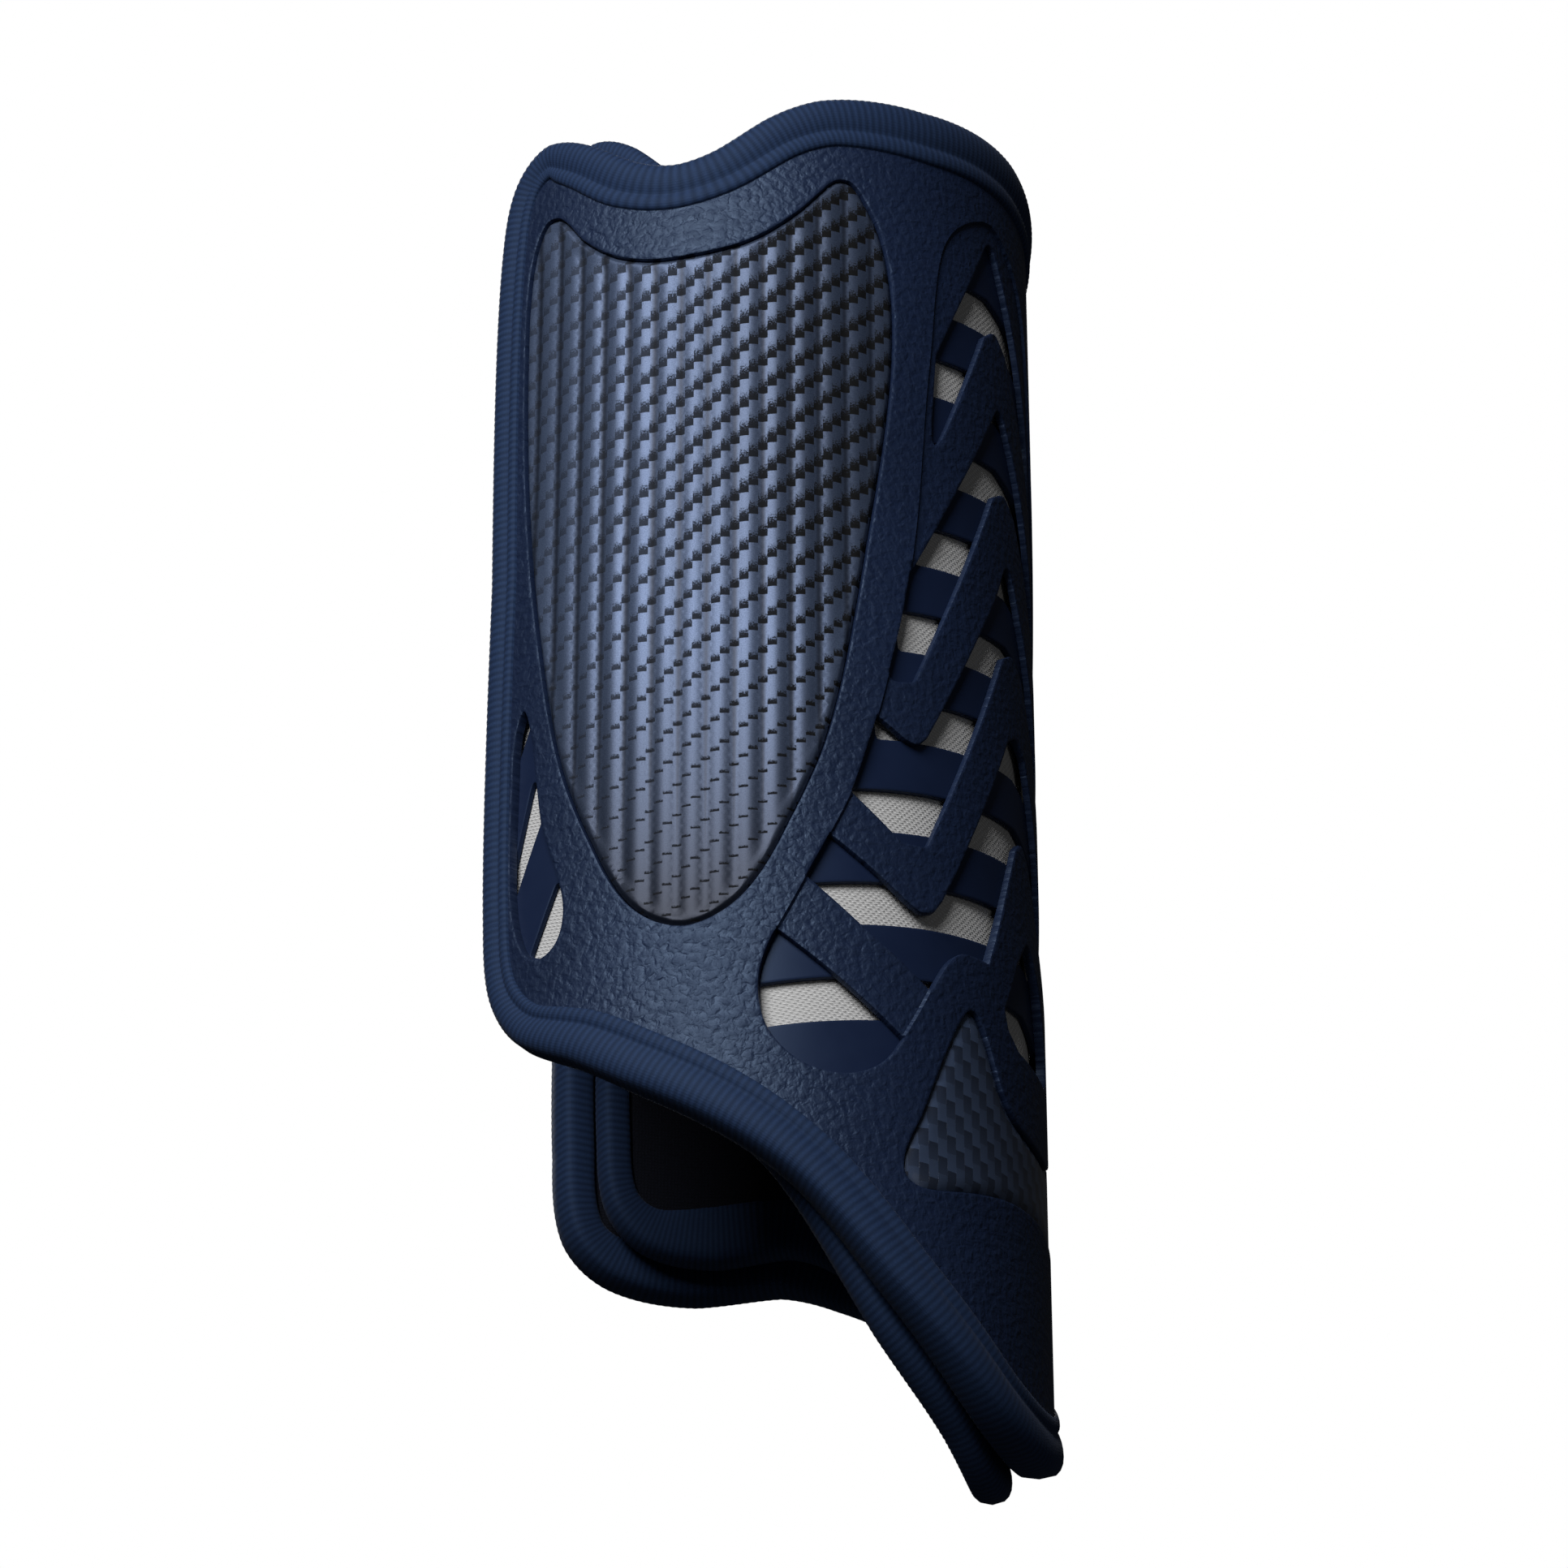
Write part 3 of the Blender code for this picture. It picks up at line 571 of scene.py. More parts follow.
def binding(name, points, low, high, finish):
    """Ribbed tape folded round the edge of a stack of layers, with a rolled rim and a crease."""
    path, normals, widths, at, length = edge_with_normals(points)
    rib = np.where(np.arange(len(path)) % 2 == 0, 1.0, -1.0)
    middle = (low + high) / 2
    outer = [  # share of the width, then mm out of the face, then how much the ribs show
        (1.0, -0.02, 0.0), (0.985, 0.4, 0.2), (0.95, 0.72, 0.6), (0.89, 0.9, 1.0),
        (0.82, 0.95, 1.0), (0.765, 0.85, 0.8), (0.725, 0.62, 0.4), (0.7, 0.55, 0.2),
        (0.67, 0.64, 0.5), (0.62, 0.92, 0.9), (0.54, 1.25, 1.0), (0.44, 1.48, 1.0),
        (0.33, 1.55, 1.0), (0.22, 1.4, 1.0), (0.12, 0.9, 1.0), (0.045, 0.0, 1.0),
    ]
    inner = [
        (0.045, -0.1, 1.0), (0.11, 0.7, 1.0), (0.2, 1.15, 1.0), (0.35, 1.3, 1.0),
        (0.55, 1.2, 1.0), (0.75, 1.1, 1.0), (0.9, 0.85, 0.7), (0.985, 0.4, 0.2), (1.0, -0.02, 0.0),
    ]
    profile = [(w, low - out, -show) for w, out, show in outer]
    profile += [(0.0, middle, 0.0)]
    profile += [(w, high + out, show) for w, out, show in inner]
    rings, flats = [], []
    run = 0.0
    previous = None
    for share, depth, show in profile:
        reach = -share * widths
        at_point = path + normals * reach[:, None]
        depths = depth + RIB_HEIGHT * rib * show
        rings.append(placed(at_point[:, 0], at_point[:, 1], depths))
        if previous is not None:
            run += float(np.linalg.norm(rings[-1] - previous, axis=1).mean()) / MM
        previous = rings[-1]
        flats.append(np.stack([np.full(len(at), run), at], axis=1))
    for depth in (high, low):
        at_point = path - normals * LIP
        rings.append(placed(at_point[:, 0], at_point[:, 1], np.full(len(at), depth)))
        flats.append(np.stack([np.full(len(at), run), at], axis=1))
    size, count = len(rings), len(path)
    vertices = np.stack(rings, axis=1).reshape(-1, 3)
    flat = np.stack(flats, axis=1).reshape(-1, 2)
    faces = []
    for i in range(count):
        j = (i + 1) % count
        for k in range(size):
            m = (k + 1) % size
            faces.append((i * size + k, i * size + m, j * size + m, j * size + k))
    piece = new_piece(name, vertices, faces, flat, finish, keep_sharp=70.0)
    face_outwards(piece)
    return piece


def face_outwards(piece):
    mesh = piece.data
    points = np.empty(len(mesh.vertices) * 3)
    mesh.vertices.foreach_get("co", points)
    points = points.reshape(-1, 3)
    mesh.calc_loop_triangles()
    corners = np.empty(len(mesh.loop_triangles) * 3, np.int32)
    mesh.loop_triangles.foreach_get("vertices", corners)
    a, b, c = (points[corners.reshape(-1, 3)[:, k]] for k in range(3))
    if (a * np.cross(b, c)).sum() < 0:
        mesh.flip_normals()


# ---------------------------------------------------------------- materials
def add(tree, kind, inputs=None, **settings):
    """Node whose inputs are set, or linked where a socket is given."""
    node = tree.nodes.new(kind)
    for key, value in settings.items():
        setattr(node, key, value)
    for key, value in (inputs or {}).items():
        if isinstance(value, bpy.types.NodeSocket):
            tree.links.new(value, node.inputs[key])
        else:
            node.inputs[key].default_value = value
    return node


def math_of(tree, operation, a, b=0.0, c=0.0):
    return add(tree, "ShaderNodeMath", {0: a, 1: b, 2: c}, operation=operation).outputs[0]


def rgba(red, green, blue):
    """Linear colour from screen values of 0 to 255."""
    out = []
    for value in (red, green, blue):
        value /= 255.0
        out.append(value / 12.92 if value < 0.04045 else ((value + 0.055) / 1.055) ** 2.4)
    return (*out, 1.0)


class Finish:
    """A material with its flat coordinates in mm, ready for a pattern."""

    def __init__(self, name, roughness, **sockets):
        self.material = bpy.data.materials.new(name)
        self.material.use_nodes = True
        self.tree = self.material.node_tree
        self.shader = self.tree.nodes["Principled BSDF"]
        self.shader.inputs["Roughness"].default_value = roughness
        for key, value in sockets.items():
            self.shader.inputs[key.replace("_", " ")].default_value = value
        self.uv = add(self.tree, "ShaderNodeTexCoord").outputs["UV"]
        parts = add(self.tree, "ShaderNodeSeparateXYZ", {0: self.uv})
        self.s = self.calc("MULTIPLY", parts.outputs[0], 10.0)
        self.z = self.calc("MULTIPLY", parts.outputs[1], 10.0)

    def calc(self, operation, a, b=0.0, c=0.0):
        return math_of(self.tree, operation, a, b, c)

    def mix(self, factor, a, b):
        return add(self.tree, "ShaderNodeMix", {0: factor, 6: a, 7: b}, data_type="RGBA").outputs[2]

    def remap(self, value, low, high, out_low, out_high):
        ends = {0: value, 1: low, 2: high, 3: out_low, 4: out_high}
        return add(self.tree, "ShaderNodeMapRange", ends).outputs[0]

    def cells(self, scale, feature="F1"):
        return add(self.tree, "ShaderNodeTexVoronoi", {"Vector": self.uv, "Scale": scale},
                   feature=feature).outputs["Distance"]

    def wave(self, value, pitch_mm):
        """Cosine wave from 0 to 1 along a coordinate in mm."""
        turn = self.calc("MULTIPLY", value, 2 * math.pi / pitch_mm)
        return self.calc("MULTIPLY_ADD", self.calc("COSINE", turn), 0.5, 0.5)

    def noise(self, size_mm, detail=3.0, roughness=0.55, distortion=0.0):
        return add(self.tree, "ShaderNodeTexNoise", {
            "Vector": self.uv, "Scale": 10.0 / size_mm, "Detail": detail,
            "Roughness": roughness, "Distortion": distortion}).outputs["Fac"]

    def colour(self, socket_or_value):
        if isinstance(socket_or_value, bpy.types.NodeSocket):
            self.tree.links.new(socket_or_value, self.shader.inputs["Base Color"])
        else:
            self.shader.inputs["Base Color"].default_value = socket_or_value

    def rough(self, socket):
        self.tree.links.new(socket, self.shader.inputs["Roughness"])

    def bump(self, height, distance_mm, strength=1.0):
        node = add(self.tree, "ShaderNodeBump", {
            "Height": height, "Distance": distance_mm * MM, "Strength": strength})
        current = self.shader.inputs["Normal"].links
        if current:
            self.tree.links.new(current[0].from_socket, node.inputs["Normal"])
        self.tree.links.new(node.outputs[0], self.shader.inputs["Normal"])


COOL = (0.48, 0.68, 1.0, 1.0)  # tint of the highlights on the navy pieces


def grained_shell():
    """Moulded rubber-like shell: leathery grain that is lit softly."""
    f = Finish("navy_shell", 0.5, Specular_IOR_Level=0.42, Specular_Tint=COOL)
    pebble = f.noise(1.7, detail=2.0, roughness=0.45, distortion=0.3)
    creases = f.cells(6.5, "SMOOTH_F1")
    f.bump(f.calc("MULTIPLY_ADD", creases, -0.1, pebble), 0.6, 0.8)
    broad = f.remap(f.noise(38.0, detail=2.0), 0.35, 0.7, 0.0, 1.0)
    f.colour(f.mix(broad, rgba(18, 28, 52), rgba(21, 32, 58)))
    f.rough(f.remap(pebble, 0.3, 0.7, 0.44, 0.58))
    return f.material


def smooth_navy():
    f = Finish("navy_slat", 0.46, Specular_IOR_Level=0.28, Specular_Tint=COOL)
    soft = f.noise(9.0, detail=2.0)
    f.colour(f.mix(soft, rgba(19, 29, 54), rgba(22, 33, 60)))
    f.rough(f.remap(soft, 0.3, 0.7, 0.42, 0.5))
    f.bump(f.noise(0.5, detail=2.0), 0.02, 0.5)
    return f.material


def knitted_mesh():
    """Slanting rows of small loops in grey yarn."""
    f = Finish("silver_mesh", 0.62, Sheen_Weight=0.1)
    slanted = f.calc("MULTIPLY_ADD", f.s, 0.22, f.z)
    row = f.calc("FLOOR", f.calc("DIVIDE", slanted, 0.75))
    shifted = f.calc("MULTIPLY_ADD", row, 0.6, f.s)
    wander = f.calc("MULTIPLY", f.noise(1.6, detail=2.0), 0.8)
    loops = f.wave(f.calc("ADD", shifted, wander), 1.2)
    courses = f.wave(f.calc("MULTIPLY_ADD", wander, 0.3, slanted), 0.75)
    height = f.calc("MULTIPLY", loops, courses)
    fibre = f.noise(0.25, detail=3.0, roughness=0.7)
    tone = f.calc("MULTIPLY", height, f.remap(fibre, 0.3, 0.7, 0.6, 1.0))
    f.colour(f.mix(tone, rgba(180, 180, 180), rgba(220, 220, 220)))
    f.bump(height, 0.25, 0.8)
    return f.material


def shield_twill():
    """Satin blue-grey twill whose dark yarns climb one step per column.

    The dark share is largest towards the upper inner corner and shrinks to thin ticks below,
    and painted shade darkens the satin in the flutes' valleys, towards the foot and at that corner.
    """
    f = Finish("blue_twill", 0.4, Metallic=0.45, Specular_IOR_Level=0.25)
    period = 3.6 * YARN
    across = f.calc("ABSOLUTE", f.calc("SUBTRACT", f.s, SIDE_MIRROR))
    column = f.calc("FLOOR", f.calc("MULTIPLY_ADD", across, 1 / YARN, 0.5))
    climbed = f.calc("MULTIPLY_ADD", column, period / 4, f.z)
    phase = f.calc("FRACT", f.calc("DIVIDE", climbed, period))
    upper = f.remap(f.z, -35.0, 40.0, 0.0, 1.0)
    inner = f.remap(across, 106.0, 56.0, 0.0, 1.0)
    share = f.calc("MULTIPLY_ADD", upper, f.calc("MULTIPLY_ADD", inner, 0.1, 0.2), 0.06)
    grit = f.noise(0.4, detail=3.0, roughness=0.85)
    left = f.calc("DIVIDE", f.calc("SUBTRACT", share, phase), share)
    dots = f.calc("ADD", left, f.remap(grit, 0.4, 0.6, -0.15, 0.75))
    block = f.remap(dots, 0.0, 0.45, 0.0, 1.0)
    # The dark yarns are real, but their weakening away from the inner side is painted highlight,
    # standing in for the satin's reflection over them.
    mask = f.calc("MULTIPLY", block, f.calc("MULTIPLY_ADD", inner, 0.4, 0.6))
    speckle = f.noise(0.3, detail=2.0, roughness=0.8)
    spread = f.remap(speckle, 0.3, 0.7, 0.0, 1.0)
    satin = f.mix(spread, rgba(60, 72, 97), rgba(84, 98, 124))
    # Painted shade: the satin is darkened to rgba(20, 24, 35) in the flutes' valleys, towards the
    # foot and at the upper inner corner, standing in for shade and for the falloff of the key light.
    valley = f.calc("POWER", f.wave(across, FLUTE_PITCH), 5.0)
    corner = f.calc("MULTIPLY", upper, inner)
    foot = f.remap(f.z, 15.0, -60.0, 0.0, 0.95)
    ends = f.calc("MAXIMUM", foot, f.calc("MULTIPLY", corner, 0.45))
    painted_shade = f.calc("MAXIMUM", f.calc("MULTIPLY", valley, 0.8), ends)
    base = f.mix(painted_shade, satin, rgba(20, 24, 35))
    f.colour(f.mix(mask, base, rgba(6, 7, 10)))
    f.rough(f.remap(mask, 0.0, 1.0, 0.4, 0.8))
    fuzz = f.calc("MULTIPLY", speckle, 0.3)
    f.bump(f.calc("MULTIPLY_ADD", block, -0.4, fuzz), 0.1, 0.5)
    return f.material


def plate_twill():
    """Dark broken twill of the instep plate: wide yarns in steps, each a little lighter or darker."""
    f = Finish("dark_twill", 0.36, Metallic=0.2, Coat_Weight=0.3, Coat_Roughness=0.2)
    cell, rise, period = 2.3, 2.6, 7.8
    yarn = f.calc("FLOOR", f.calc("DIVIDE", f.s, cell))
    shifted = f.calc("MULTIPLY_ADD", yarn, rise, f.z)
    phase = f.calc("FRACT", f.calc("DIVIDE", shifted, period))
    block = f.calc("LESS_THAN", phase, 0.5)
    slope = f.calc("FRACT", f.calc("MULTIPLY", phase, 2.0))
    grit = f.noise(0.4, detail=3.0, roughness=0.85)
    worn = f.calc("MULTIPLY", slope, grit)
    tone = f.calc("MULTIPLY_ADD", worn, 0.5, f.calc("MULTIPLY", block, 0.5))
    f.colour(f.mix(tone, rgba(60, 74, 100), rgba(16, 20, 31)))
    raised = f.calc("MULTIPLY", slope, 0.4)
    f.bump(f.calc("MULTIPLY_ADD", block, -0.5, raised), 0.15, 0.6)
    return f.material


def ribbed_tape():
    f = Finish("navy_tape", 0.7, Sheen_Weight=0.03, Sheen_Roughness=0.4, Specular_IOR_Level=0.22,
               Specular_Tint=COOL)
    ribs = f.wave(f.z, 1.6)
    threads = f.wave(f.s, 0.5)
    fuzz = f.noise(0.6, detail=3.0)
    tone = f.calc("MULTIPLY", ribs, f.remap(fuzz, 0.3, 0.7, 0.6, 1.0))
    f.colour(f.mix(tone, rgba(24, 37, 62), rgba(36, 53, 85)))
    f.bump(f.calc("MULTIPLY_ADD", threads, 0.3, fuzz), 0.07, 0.6)
    return f.material


def webbing():
    f = Finish("navy_webbing", 0.78, Sheen_Weight=0.1, Sheen_Roughness=0.4, Specular_IOR_Level=0.25)
    along = f.wave(f.s, 1.1)
    across = f.wave(f.z, 2.0)
    weave = f.calc("MULTIPLY", along, across)
    fuzz = f.noise(0.5, detail=3.0)
    tone = f.calc("MULTIPLY", weave, fuzz)
    f.colour(f.mix(tone, rgba(20, 29, 50), rgba(52, 69, 106)))
    f.bump(f.calc("MULTIPLY_ADD", fuzz, 0.3, weave), 0.25, 0.8)
    return f.material


def thread():
    f = Finish("navy_thread", 0.6)
    twist = f.wave(f.calc("ADD", f.s, f.z), 0.6)
    f.colour(f.mix(twist, rgba(50, 66, 100), rgba(80, 99, 138)))
    f.bump(twist, 0.08, 0.6)
    return f.material


def dark_foam():
    f = Finish("dark_foam", 0.9, Specular_IOR_Level=0.2)
    cells = f.cells(14.0)
    f.colour(f.mix(cells, rgba(14, 14, 16), rgba(34, 34, 38)))
    f.bump(cells, 0.3, 0.8)
    return f.material


def brushed_knit():
    f = Finish("black_fabric", 0.95, Specular_IOR_Level=0.15)
    wales = f.wave(f.calc("MULTIPLY_ADD", f.noise(2.5), 0.8, f.s), 0.9)
    courses = f.wave(f.z, 0.7)
    nap = f.noise(0.7, detail=4.0, roughness=0.7)
    knit = f.calc("MULTIPLY", wales, courses)
    tone = f.calc("MULTIPLY_ADD", knit, 0.4, nap)
    f.colour(f.mix(tone, rgba(7, 8, 13), rgba(22, 25, 36)))
    f.bump(tone, 0.2, 0.8)
    return f.material


def hook_and_loop():
    f = Finish("hook_loop", 0.85, Sheen_Weight=0.15, Specular_IOR_Level=0.2)
    loops = f.cells(18.0)
    nap = f.noise(0.5, detail=4.0, roughness=0.75)
    tone = f.calc("MULTIPLY", loops, nap)
    f.colour(f.mix(tone, rgba(14, 17, 26), rgba(56, 63, 84)))
    f.bump(f.calc("ADD", loops, nap), 0.45, 0.9)
    return f.material


def pale_floor():
    """Pale floor that looks evenly lit and throws little light back at the object."""
    f = Finish("pale_floor", 0.8, Emission_Color=(1.0, 1.0, 1.0, 1.0))
    f.colour(rgba(90, 90, 90))
    seen = add(f.tree, "ShaderNodeLightPath").outputs["Is Camera Ray"]
    f.tree.links.new(f.calc("MULTIPLY", seen, 0.7), f.shader.inputs["Emission Strength"])
    return f.material


FINISH = {
    "navy_shell": grained_shell(),
    "navy_slat": smooth_navy(),
    "silver_mesh": knitted_mesh(),
    "blue_twill": shield_twill(),
    "dark_twill": plate_twill(),
    "navy_tape": ribbed_tape(),
    "webbing": webbing(),
    "thread": thread(),
    "dark_foam": dark_foam(),
    "black_fabric": brushed_knit(),
    "hook_loop": hook_and_loop(),
}


# ---------------------------------------------------------------- the outer guard
def layer(name, slot, outline, holes, depths, rim, step, creases=(), body=GUARD):
    """Layer in place of its CAD node; the front depth is a number, or a function as in relief()."""
    front, back = depths
    face = front if callable(front) else level(front)
    return mount(relief(name, outline, holes, face, back, FINISH[slot], rim, step, creases),
                 body, slot, name)


def build_shell():
    field = rib_field()
    holes = [shield_outline(), to_left_side(shield_outline()), instep_outline()]
    vent = smooth_loop(REAR_VENT, FINE_STEP)
    holes += front_openings() + [vent, to_left_side(vent)]

    def face(s, z, rim_distance):
        """Depth of the sunken field; its steep ribs rise to meet the crown above the instep."""
        points = np.stack([s, z], axis=1)
        away = distances(points, [field])
        inside = within(points, [field])
        steep = np.abs(s - LEAN * z) < 22.0
        rising = np.where(steep, eased(z, -60.0, -38.0), 1.0)
        return RIB_RECESS * rising * np.where(inside, eased(away, 0.0, 0.5), 0.0)

    layer("outer_shell", "navy_shell", grown(smooth_loop(SHELL_EDGE, EDGE_STEP), -LIP), holes,
          (face, SHELL_BACK), rim=0.5, step=SHELL_GRID,
          creases=[field, grown(field, -0.25), grown(field, -0.5)])


def build_shield(name, outline):
    def face(s, z, rim_distance):
        flute = np.abs(np.sin(math.pi * (s - SIDE_MIRROR) / FLUTE_PITCH))
        fade = eased(rim_distance, 0.9, 3.2)
        drop = SHIELD_RIM_DROP * (1 - eased(rim_distance, 0.1, 1.1))
        return SHIELD_FRONT + drop + FLUTE_DEPTH * fade * (1 - flute**0.55)

    edge = grown(outline, -PLATE_GAP)
    layer(name, "blue_twill", edge, [], (face, PLATE_BACK), rim=PLATE_RIM, step=FLUTE_GRID,
          creases=[grown(edge, -inset) for inset in (0.55, 0.85, 1.2)])


def build_instep_plate():
    def face(s, z, rim_distance):
        return INSTEP_FRONT + INSTEP_RIM_DROP * (1 - eased(rim_distance, 0.1, 1.3))

    layer("instep_plate", "dark_twill", grown(instep_outline(), -PLATE_GAP), [], (face, PLATE_BACK),
          rim=PLATE_RIM, step=INSTEP_GRID)


def build_vent(names, outline, slots, rim, step):
    """Slotted panel and the mesh behind it; gives back the pocket that they need in the foam."""
    panel, backing = names
    layer(panel, "navy_slat", outline, slots, SLATS, rim=rim, step=step)
    mesh = layer(backing, "silver_mesh", outline, [], MESH, rim=0.1, step=step)
    return grown(outline, 0.5)


def build_vents():
    front = leaned(smooth_loop(whole(VENT_PANEL), EDGE_STEP))
    right = grown(smooth_loop(REAR_VENT, 1.2), 3.0)
    left = to_left_side(right)
    left_slots = [to_left_side(slot) for slot in rear_slots()]
    return [
        build_vent(("front_slat_panel", "front_mesh"), front, front_slots(), 0.45, VENT_GRID),
        build_vent(("rear_slat_panel_right", "rear_mesh_right"), right, rear_slots(), 0.4, REAR_GRID),
        build_vent(("rear_slat_panel_left", "rear_mesh_left"), left, left_slots, 0.4, REAR_GRID),
    ]


def build_foam(name, outline, pockets, depths):
    foam = layer(name, "dark_foam", outline, pockets, depths, rim=0.4, step=LINING_GRID)


def build_fabric(name, outline, depths, step):
    cloth = layer(name, "black_fabric", outline, [], depths, rim=0.1, step=step)


def build_soft_layers(pockets):
    edge = grown(smooth_loop(SHELL_EDGE, CLOTH_STEP), -LIP)
    inner = grown(smooth_loop(LINER_EDGE, CLOTH_STEP), -LIP)
    build_foam("shell_foam", edge, pockets, SHELL_FOAM)
    build_fabric("shell_lining", edge, SHELL_LINING, LINING_GRID)
    build_fabric("liner_backing", inner, LINER_BACKING, LINER_GRID)
    build_fabric("liner_facing", inner, LINER_FACING, LINER_GRID)
    build_foam("liner_foam", inner, [], LINER_FOAM)


def build_pad(name, middle, half, depths, rim, body=GUARD):
    outline = rounded_rectangle(*middle, *half)
    pad = layer(name, "hook_loop", outline, [], depths, rim=rim, step=PAD_GRID, body=body)


def build_liner_pads():
    for where, place in PAD_PLACES.items():
        for kind, depths in (("hook", HOOK_PAD), ("loop", LOOP_PAD)):
            build_pad(f"liner_{kind}_pad_{where}", place, PAD_HALF, depths, 0.4)


# ---------------------------------------------------------------- the straps
def smooth_path(points, step):
    """Open Catmull-Rom line through the points, sampled about every step mm."""
    points = [np.array(p, float) for p in points]
    points = [2 * points[0] - points[1]] + points + [2 * points[-1] - points[-2]]
    out = []
    for a, b, c, d in zip(points, points[1:], points[2:], points[3:]):
        pieces = max(1, round(np.linalg.norm(c - b) / step))
        for j in range(pieces):
            t = j / pieces
            out.append(0.5 * (2 * b + (c - a) * t + (2 * a - 5 * b + 4 * c - d) * t**2
                              + (3 * b - a - 3 * c + d) * t**3))
    out.append(points[-2])
    return np.array(out)


def strap_line():
    """Middle of the strap seen from above: sewn end, gap, turn round the left wing, free end."""
    def at(s, depth):
        x, y = section(np.array([s]), depth)
        return float(x[0]), float(y[0])

    sewn = [at(s, STRAP_MIDDLE) for s in (-105.5, -112.0, -119.0, -126.0, -132.0)]
    turn = [at(167.0, 1.5), at(165.0, -2.3)]
    landing = [at(s, -3.45) for s in (160.0, 152.0, 142.0, 132.0, 120.0)]
    hinge = np.array(HINGE)
    gap = [tuple(hinge + (np.array(turn[0]) - hinge) * t) for t in (0.0, 0.33, 0.66)]
    return smooth_path(sewn + gap + turn + landing, 1.2)


def build_strap(where, height):
    line = strap_line()
    along = np.gradient(line, axis=0)
    along /= np.linalg.norm(along, axis=1, keepdims=True)
    across = np.stack([-along[:, 1], along[:, 0]], axis=1)
    run = np.concatenate([[0.0], np.cumsum(np.linalg.norm(np.diff(line, axis=0), axis=1))])
    selvedge = [  # share of the half width, then half the thickness in mm
        (1, 0.12), (0.985, 0.36), (0.94, 0.52), (0.87, 0.5), (0.8, 0.42), (0.5, 0.45), (0.2, 0.45),
    ]
    front = [(-w * STRAP_WIDTH / 2, t) for w, t in selvedge]
    front += [(w * STRAP_WIDTH / 2, t) for w, t in reversed(selvedge)]
    profile = front + [(up, -t) for up, t in reversed(front)]
    round_end = np.minimum(np.minimum(run, run[-1] - run) / 0.8, 1.0)
    taper = 0.35 + 0.65 * np.sqrt(1 - (1 - round_end) ** 2)
    rings, flats = [], []
    for up, out in profile:
        place = line + across * (out * taper)[:, None]
        rings.append(np.column_stack([place, np.full(len(line), height + up)]) * MM)
        flats.append(np.stack([np.full(len(line), up), run], axis=1))
    size, count = len(rings), len(line)
    vertices = np.stack(rings, axis=1).reshape(-1, 3)
    flat = np.stack(flats, axis=1).reshape(-1, 2)
    faces = []
    for i in range(count - 1):
        for k in range(size):
            m = (k + 1) % size
            faces.append((i * size + k, i * size + m, (i + 1) * size + m, (i + 1) * size + k))
    faces += [tuple(range(size))[::-1], tuple((count - 1) * size + k for k in range(size))]
    strap = new_piece(f"strap_{where}", vertices, faces, flat, FINISH["webbing"], 60.0)
    face_outwards(strap)
    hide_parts(f"strap_{where}", f"strap_{where}_anchor")
    reach = np.array((*(line[np.argmin(np.abs(run - 60.0))] - np.array(HINGE)), 0.0))
    reach /= np.linalg.norm(reach)
    reach *= BEND_REACH
    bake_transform(strap)
    return line, run


def build_fastenings(where, height):
    build_pad(f"strap_{where}_hook_tab", (HOOK_TAB_MIDDLE, height), HOOK_TAB_HALF, HOOK_TAB, 0.3,
              f"{where}_strap")
    build_pad(f"strap_{where}_landing_pad", (LANDING_MIDDLE, height), LANDING_HALF, LANDING_PAD, 0.5)


def stitches(name, body, marks):
    """Row of short thread loops; each mark is (middle, direction, outward), in mm."""
    vertices, faces, flat = [], [], []
    rounds, stations = 6, (-1.0, -0.6, 0.0, 0.6, 1.0)
    for middle, direction, out in marks:
        side = np.cross(direction, out)
        first = len(vertices)
        for share in stations:
            along = share * STITCH_HALF_LENGTH
            bulge = math.sqrt(max(0.0, 1 - share * share))
            centre = middle + direction * along + out * (0.22 * bulge - 0.05)
            radius = 0.05 + 0.2 * bulge
            for k in range(rounds):
                turn = 2 * math.pi * k / rounds
                spoke = side * (radius * math.cos(turn)) + out * (radius * math.sin(turn))
                vertices.append((centre + spoke) * MM)
                flat.append((along, k * 0.2))
        for i in range(len(stations) - 1):
            for k in range(rounds):
                a, b = first + i * rounds + k, first + i * rounds + (k + 1) % rounds
                faces.append((a, b, b + rounds, a + rounds))
        faces.append(tuple(first + k for k in range(rounds))[::-1])
        faces.append(tuple(first + (len(stations) - 1) * rounds + k for k in range(rounds)))
    piece = new_piece(name, vertices, faces, flat, FINISH["thread"])
    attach(piece, body)


def build_strap_stitching(where, height, line, run):
    """Box seam through the strap over its hook tab, seen on the strap's outer face."""
    first, last = (run[-1] - distance for distance in SEAM_FROM_END)
    top, bottom = height + SEAM_HALF_HEIGHT, height - SEAM_HALF_HEIGHT
    marks = []

    def mark(at, z, direction_along):
        x, y = (np.interp(at, run, line[:, k]) for k in (0, 1))
        ahead = np.array([np.interp(at + 0.5, run, line[:, k]) for k in (0, 1)]) - (x, y)
        ahead = np.append(ahead / np.linalg.norm(ahead), 0.0)
        out = np.array((-ahead[1], ahead[0], 0.0))
        if np.dot(out[:2], (x, y)) < 0:
            out = -out
        marks.append((np.array((x, y, z)) + out * 0.48,
                      ahead if direction_along else np.array((0.0, 0.0, 1.0)), out))

    for at in np.arange(first, last, STITCH_PITCH):
        mark(at, top, True)
        mark(at, bottom, True)
    for z in np.arange(bottom + STITCH_PITCH / 2, top, STITCH_PITCH):
        mark(first, z, False)
        mark(last, z, False)
    stitches(f"strap_{where}_stitching", f"{where}_strap", marks)


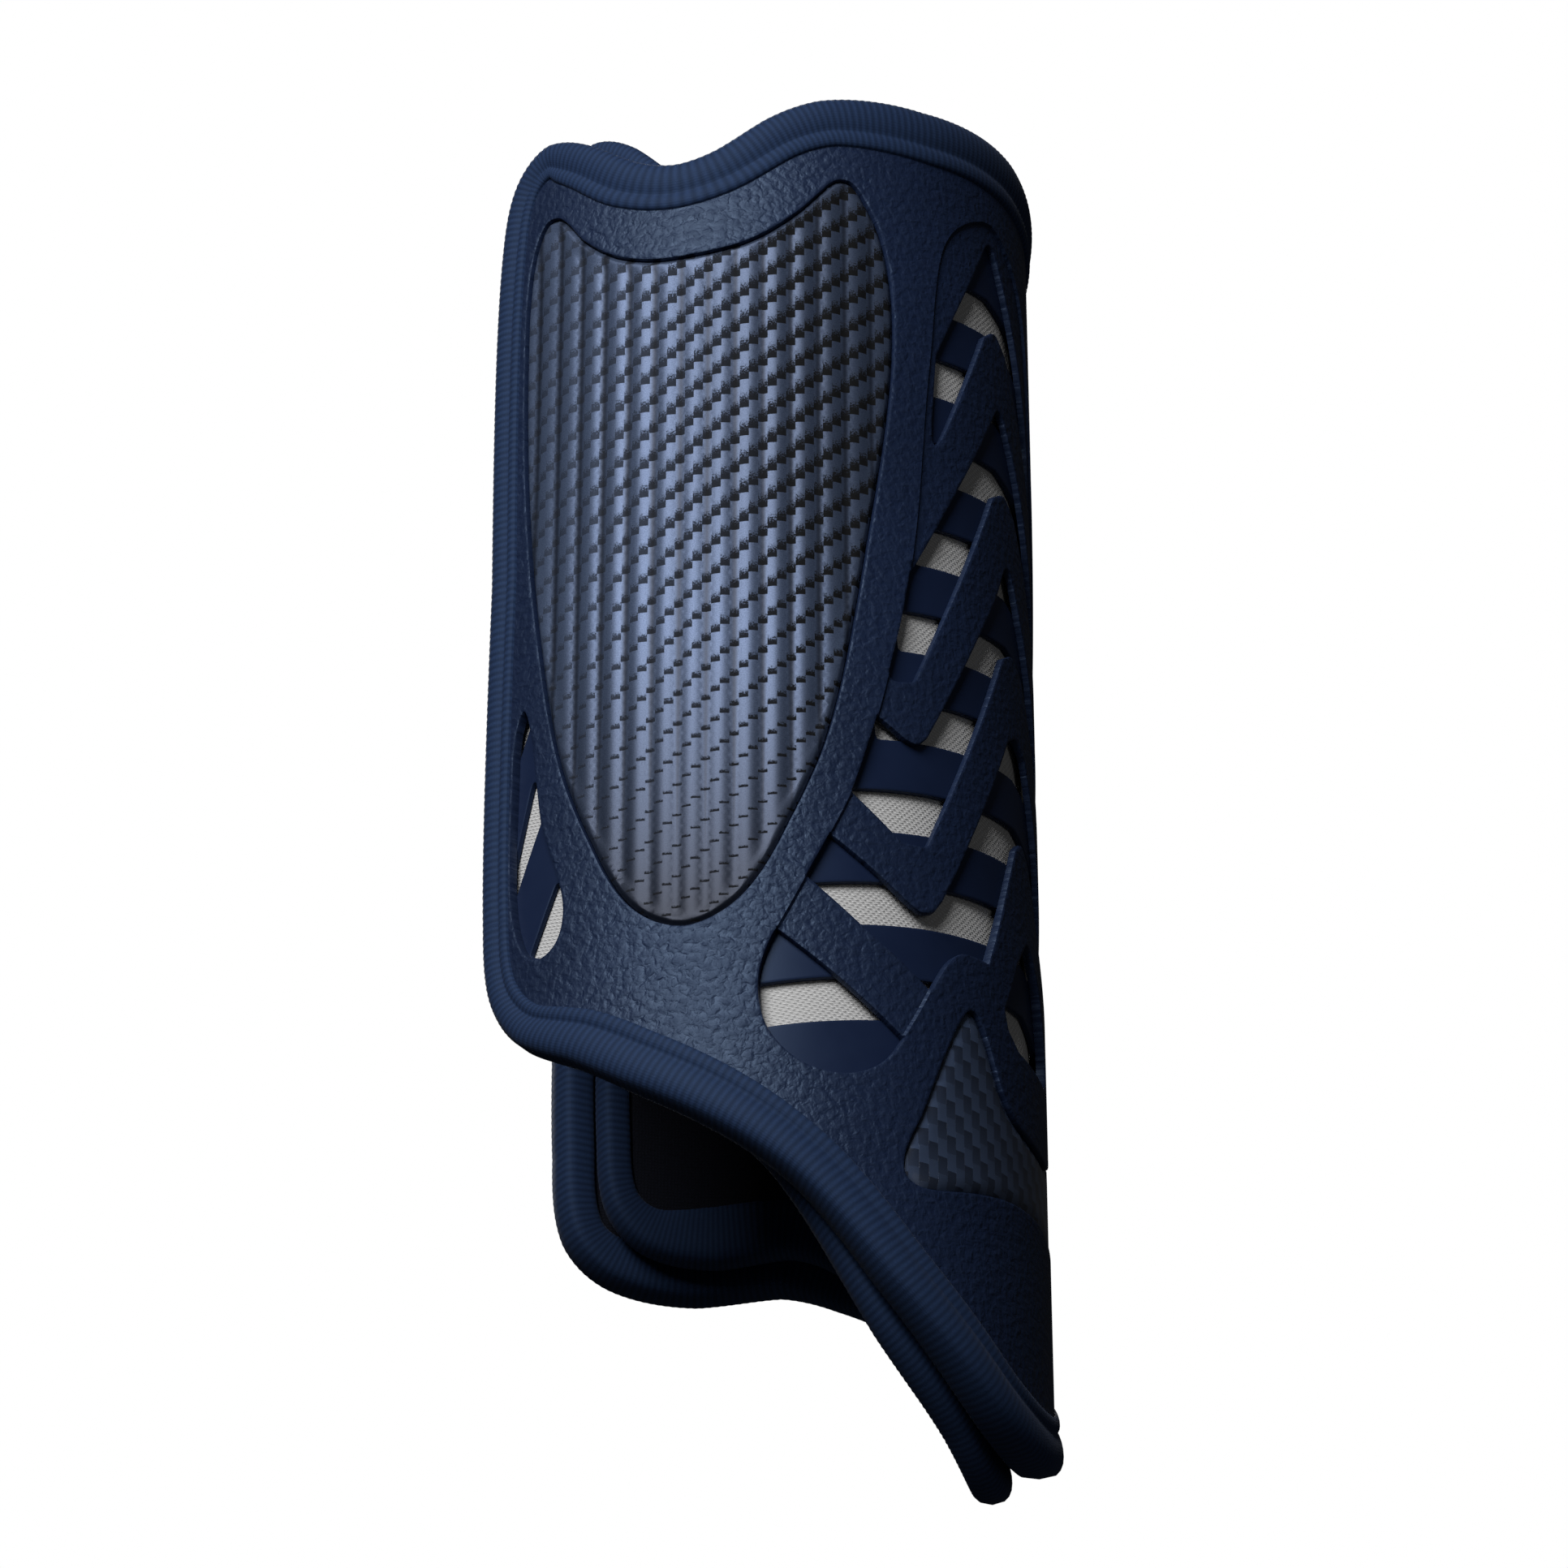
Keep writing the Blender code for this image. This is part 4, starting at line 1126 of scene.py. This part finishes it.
# ---------------------------------------------------------------- the stage
def area_light(name, direction, distance, size, power):
    lamp = bpy.data.lights.new(name, "AREA")
    lamp.shape = "RECTANGLE"
    lamp.size, lamp.size_y = size
    lamp.energy = power
    holder = bpy.data.objects.new(name, lamp)
    back = Vector(direction).normalized()
    holder.location = back * distance
    holder.rotation_mode = "QUATERNION"
    holder.rotation_quaternion = back.to_track_quat("Z", "Y")
    bpy.context.scene.collection.objects.link(holder)


def build_floor():
    mesh = bpy.data.meshes.new("floor")
    corners = [(-1, -1), (1, -1), (1, 1), (-1, 1)]
    mesh.from_pydata([(x * FLOOR_REACH, y * FLOOR_REACH, FLOOR_HEIGHT) for x, y in corners], [],
                     [(0, 1, 2, 3)])
    mesh.materials.append(pale_floor())
    floor = bpy.data.objects.new("floor", mesh)
    bpy.context.scene.collection.objects.link(floor)


def build_world():
    """White surroundings for the camera that give almost no light themselves."""
    world = bpy.data.worlds.new("studio")
    world.use_nodes = True
    tree = world.node_tree
    seen = add(tree, "ShaderNodeLightPath").outputs["Is Camera Ray"]
    strength = math_of(tree, "MULTIPLY_ADD", seen, 0.98, 0.02)
    background = tree.nodes["Background"]
    background.inputs["Color"].default_value = (1.0, 1.0, 1.0, 1.0)
    tree.links.new(strength, background.inputs["Strength"])
    bpy.context.scene.world = world
    bpy.context.scene.view_settings.view_transform = "Standard"


def build_lights():
    """Soft key from the wearer's right and above, a little from the front, fill from behind."""
    area_light("key", (-0.88, -0.03, 0.47), 1.4, (0.8, 0.9), 24.0)
    area_light("front", (-0.35, -0.9, -0.1), 1.8, (0.7, 0.9), 1.0)
    area_light("behind", (0.62, 0.45, 0.64), 2.0, (1.2, 1.2), 30.0)


def build_camera():
    lens = bpy.data.cameras.new("camera")
    lens.lens, lens.sensor_width = LENS_MM, SENSOR_MM
    lens.shift_x = CAMERA_SHIFT
    lens.clip_start, lens.clip_end = 0.05, 100.0
    camera = bpy.data.objects.new("camera", lens)
    turn, tilt = math.radians(CAMERA_TURN), math.radians(CAMERA_TILT)
    back = Vector((math.sin(turn) * math.cos(tilt), -math.cos(turn) * math.cos(tilt), math.sin(tilt)))
    camera.location = back * CAMERA_DISTANCE
    camera.rotation_mode = "QUATERNION"
    camera.rotation_quaternion = (-back).to_track_quat("-Z", "Y")
    bpy.context.scene.collection.objects.link(camera)
    bpy.context.scene.camera = camera


def main():
    build_floor()
    build_world()
    build_lights()
    build_camera()
    build_shell()
    right = shield_outline()
    build_shield("shield_plate_right", right)
    build_shield("shield_plate_left", to_left_side(right))
    build_instep_plate()
    build_soft_layers(build_vents())
    for name, edge, low, high in (
            ("shell_binding", SHELL_EDGE, 0.0, SHELL_LINING[1]),
            ("liner_binding", LINER_EDGE, LINER_BACKING[0], LINER_FACING[1])):
        mount(binding(name, edge, low, high, FINISH["navy_tape"]), GUARD, "navy_tape", name)
    build_liner_pads()
    for where, height in STRAP_HEIGHTS.items():
        line, run = build_strap(where, height)
        build_fastenings(where, height)
        build_strap_stitching(where, height, line, run)


main()
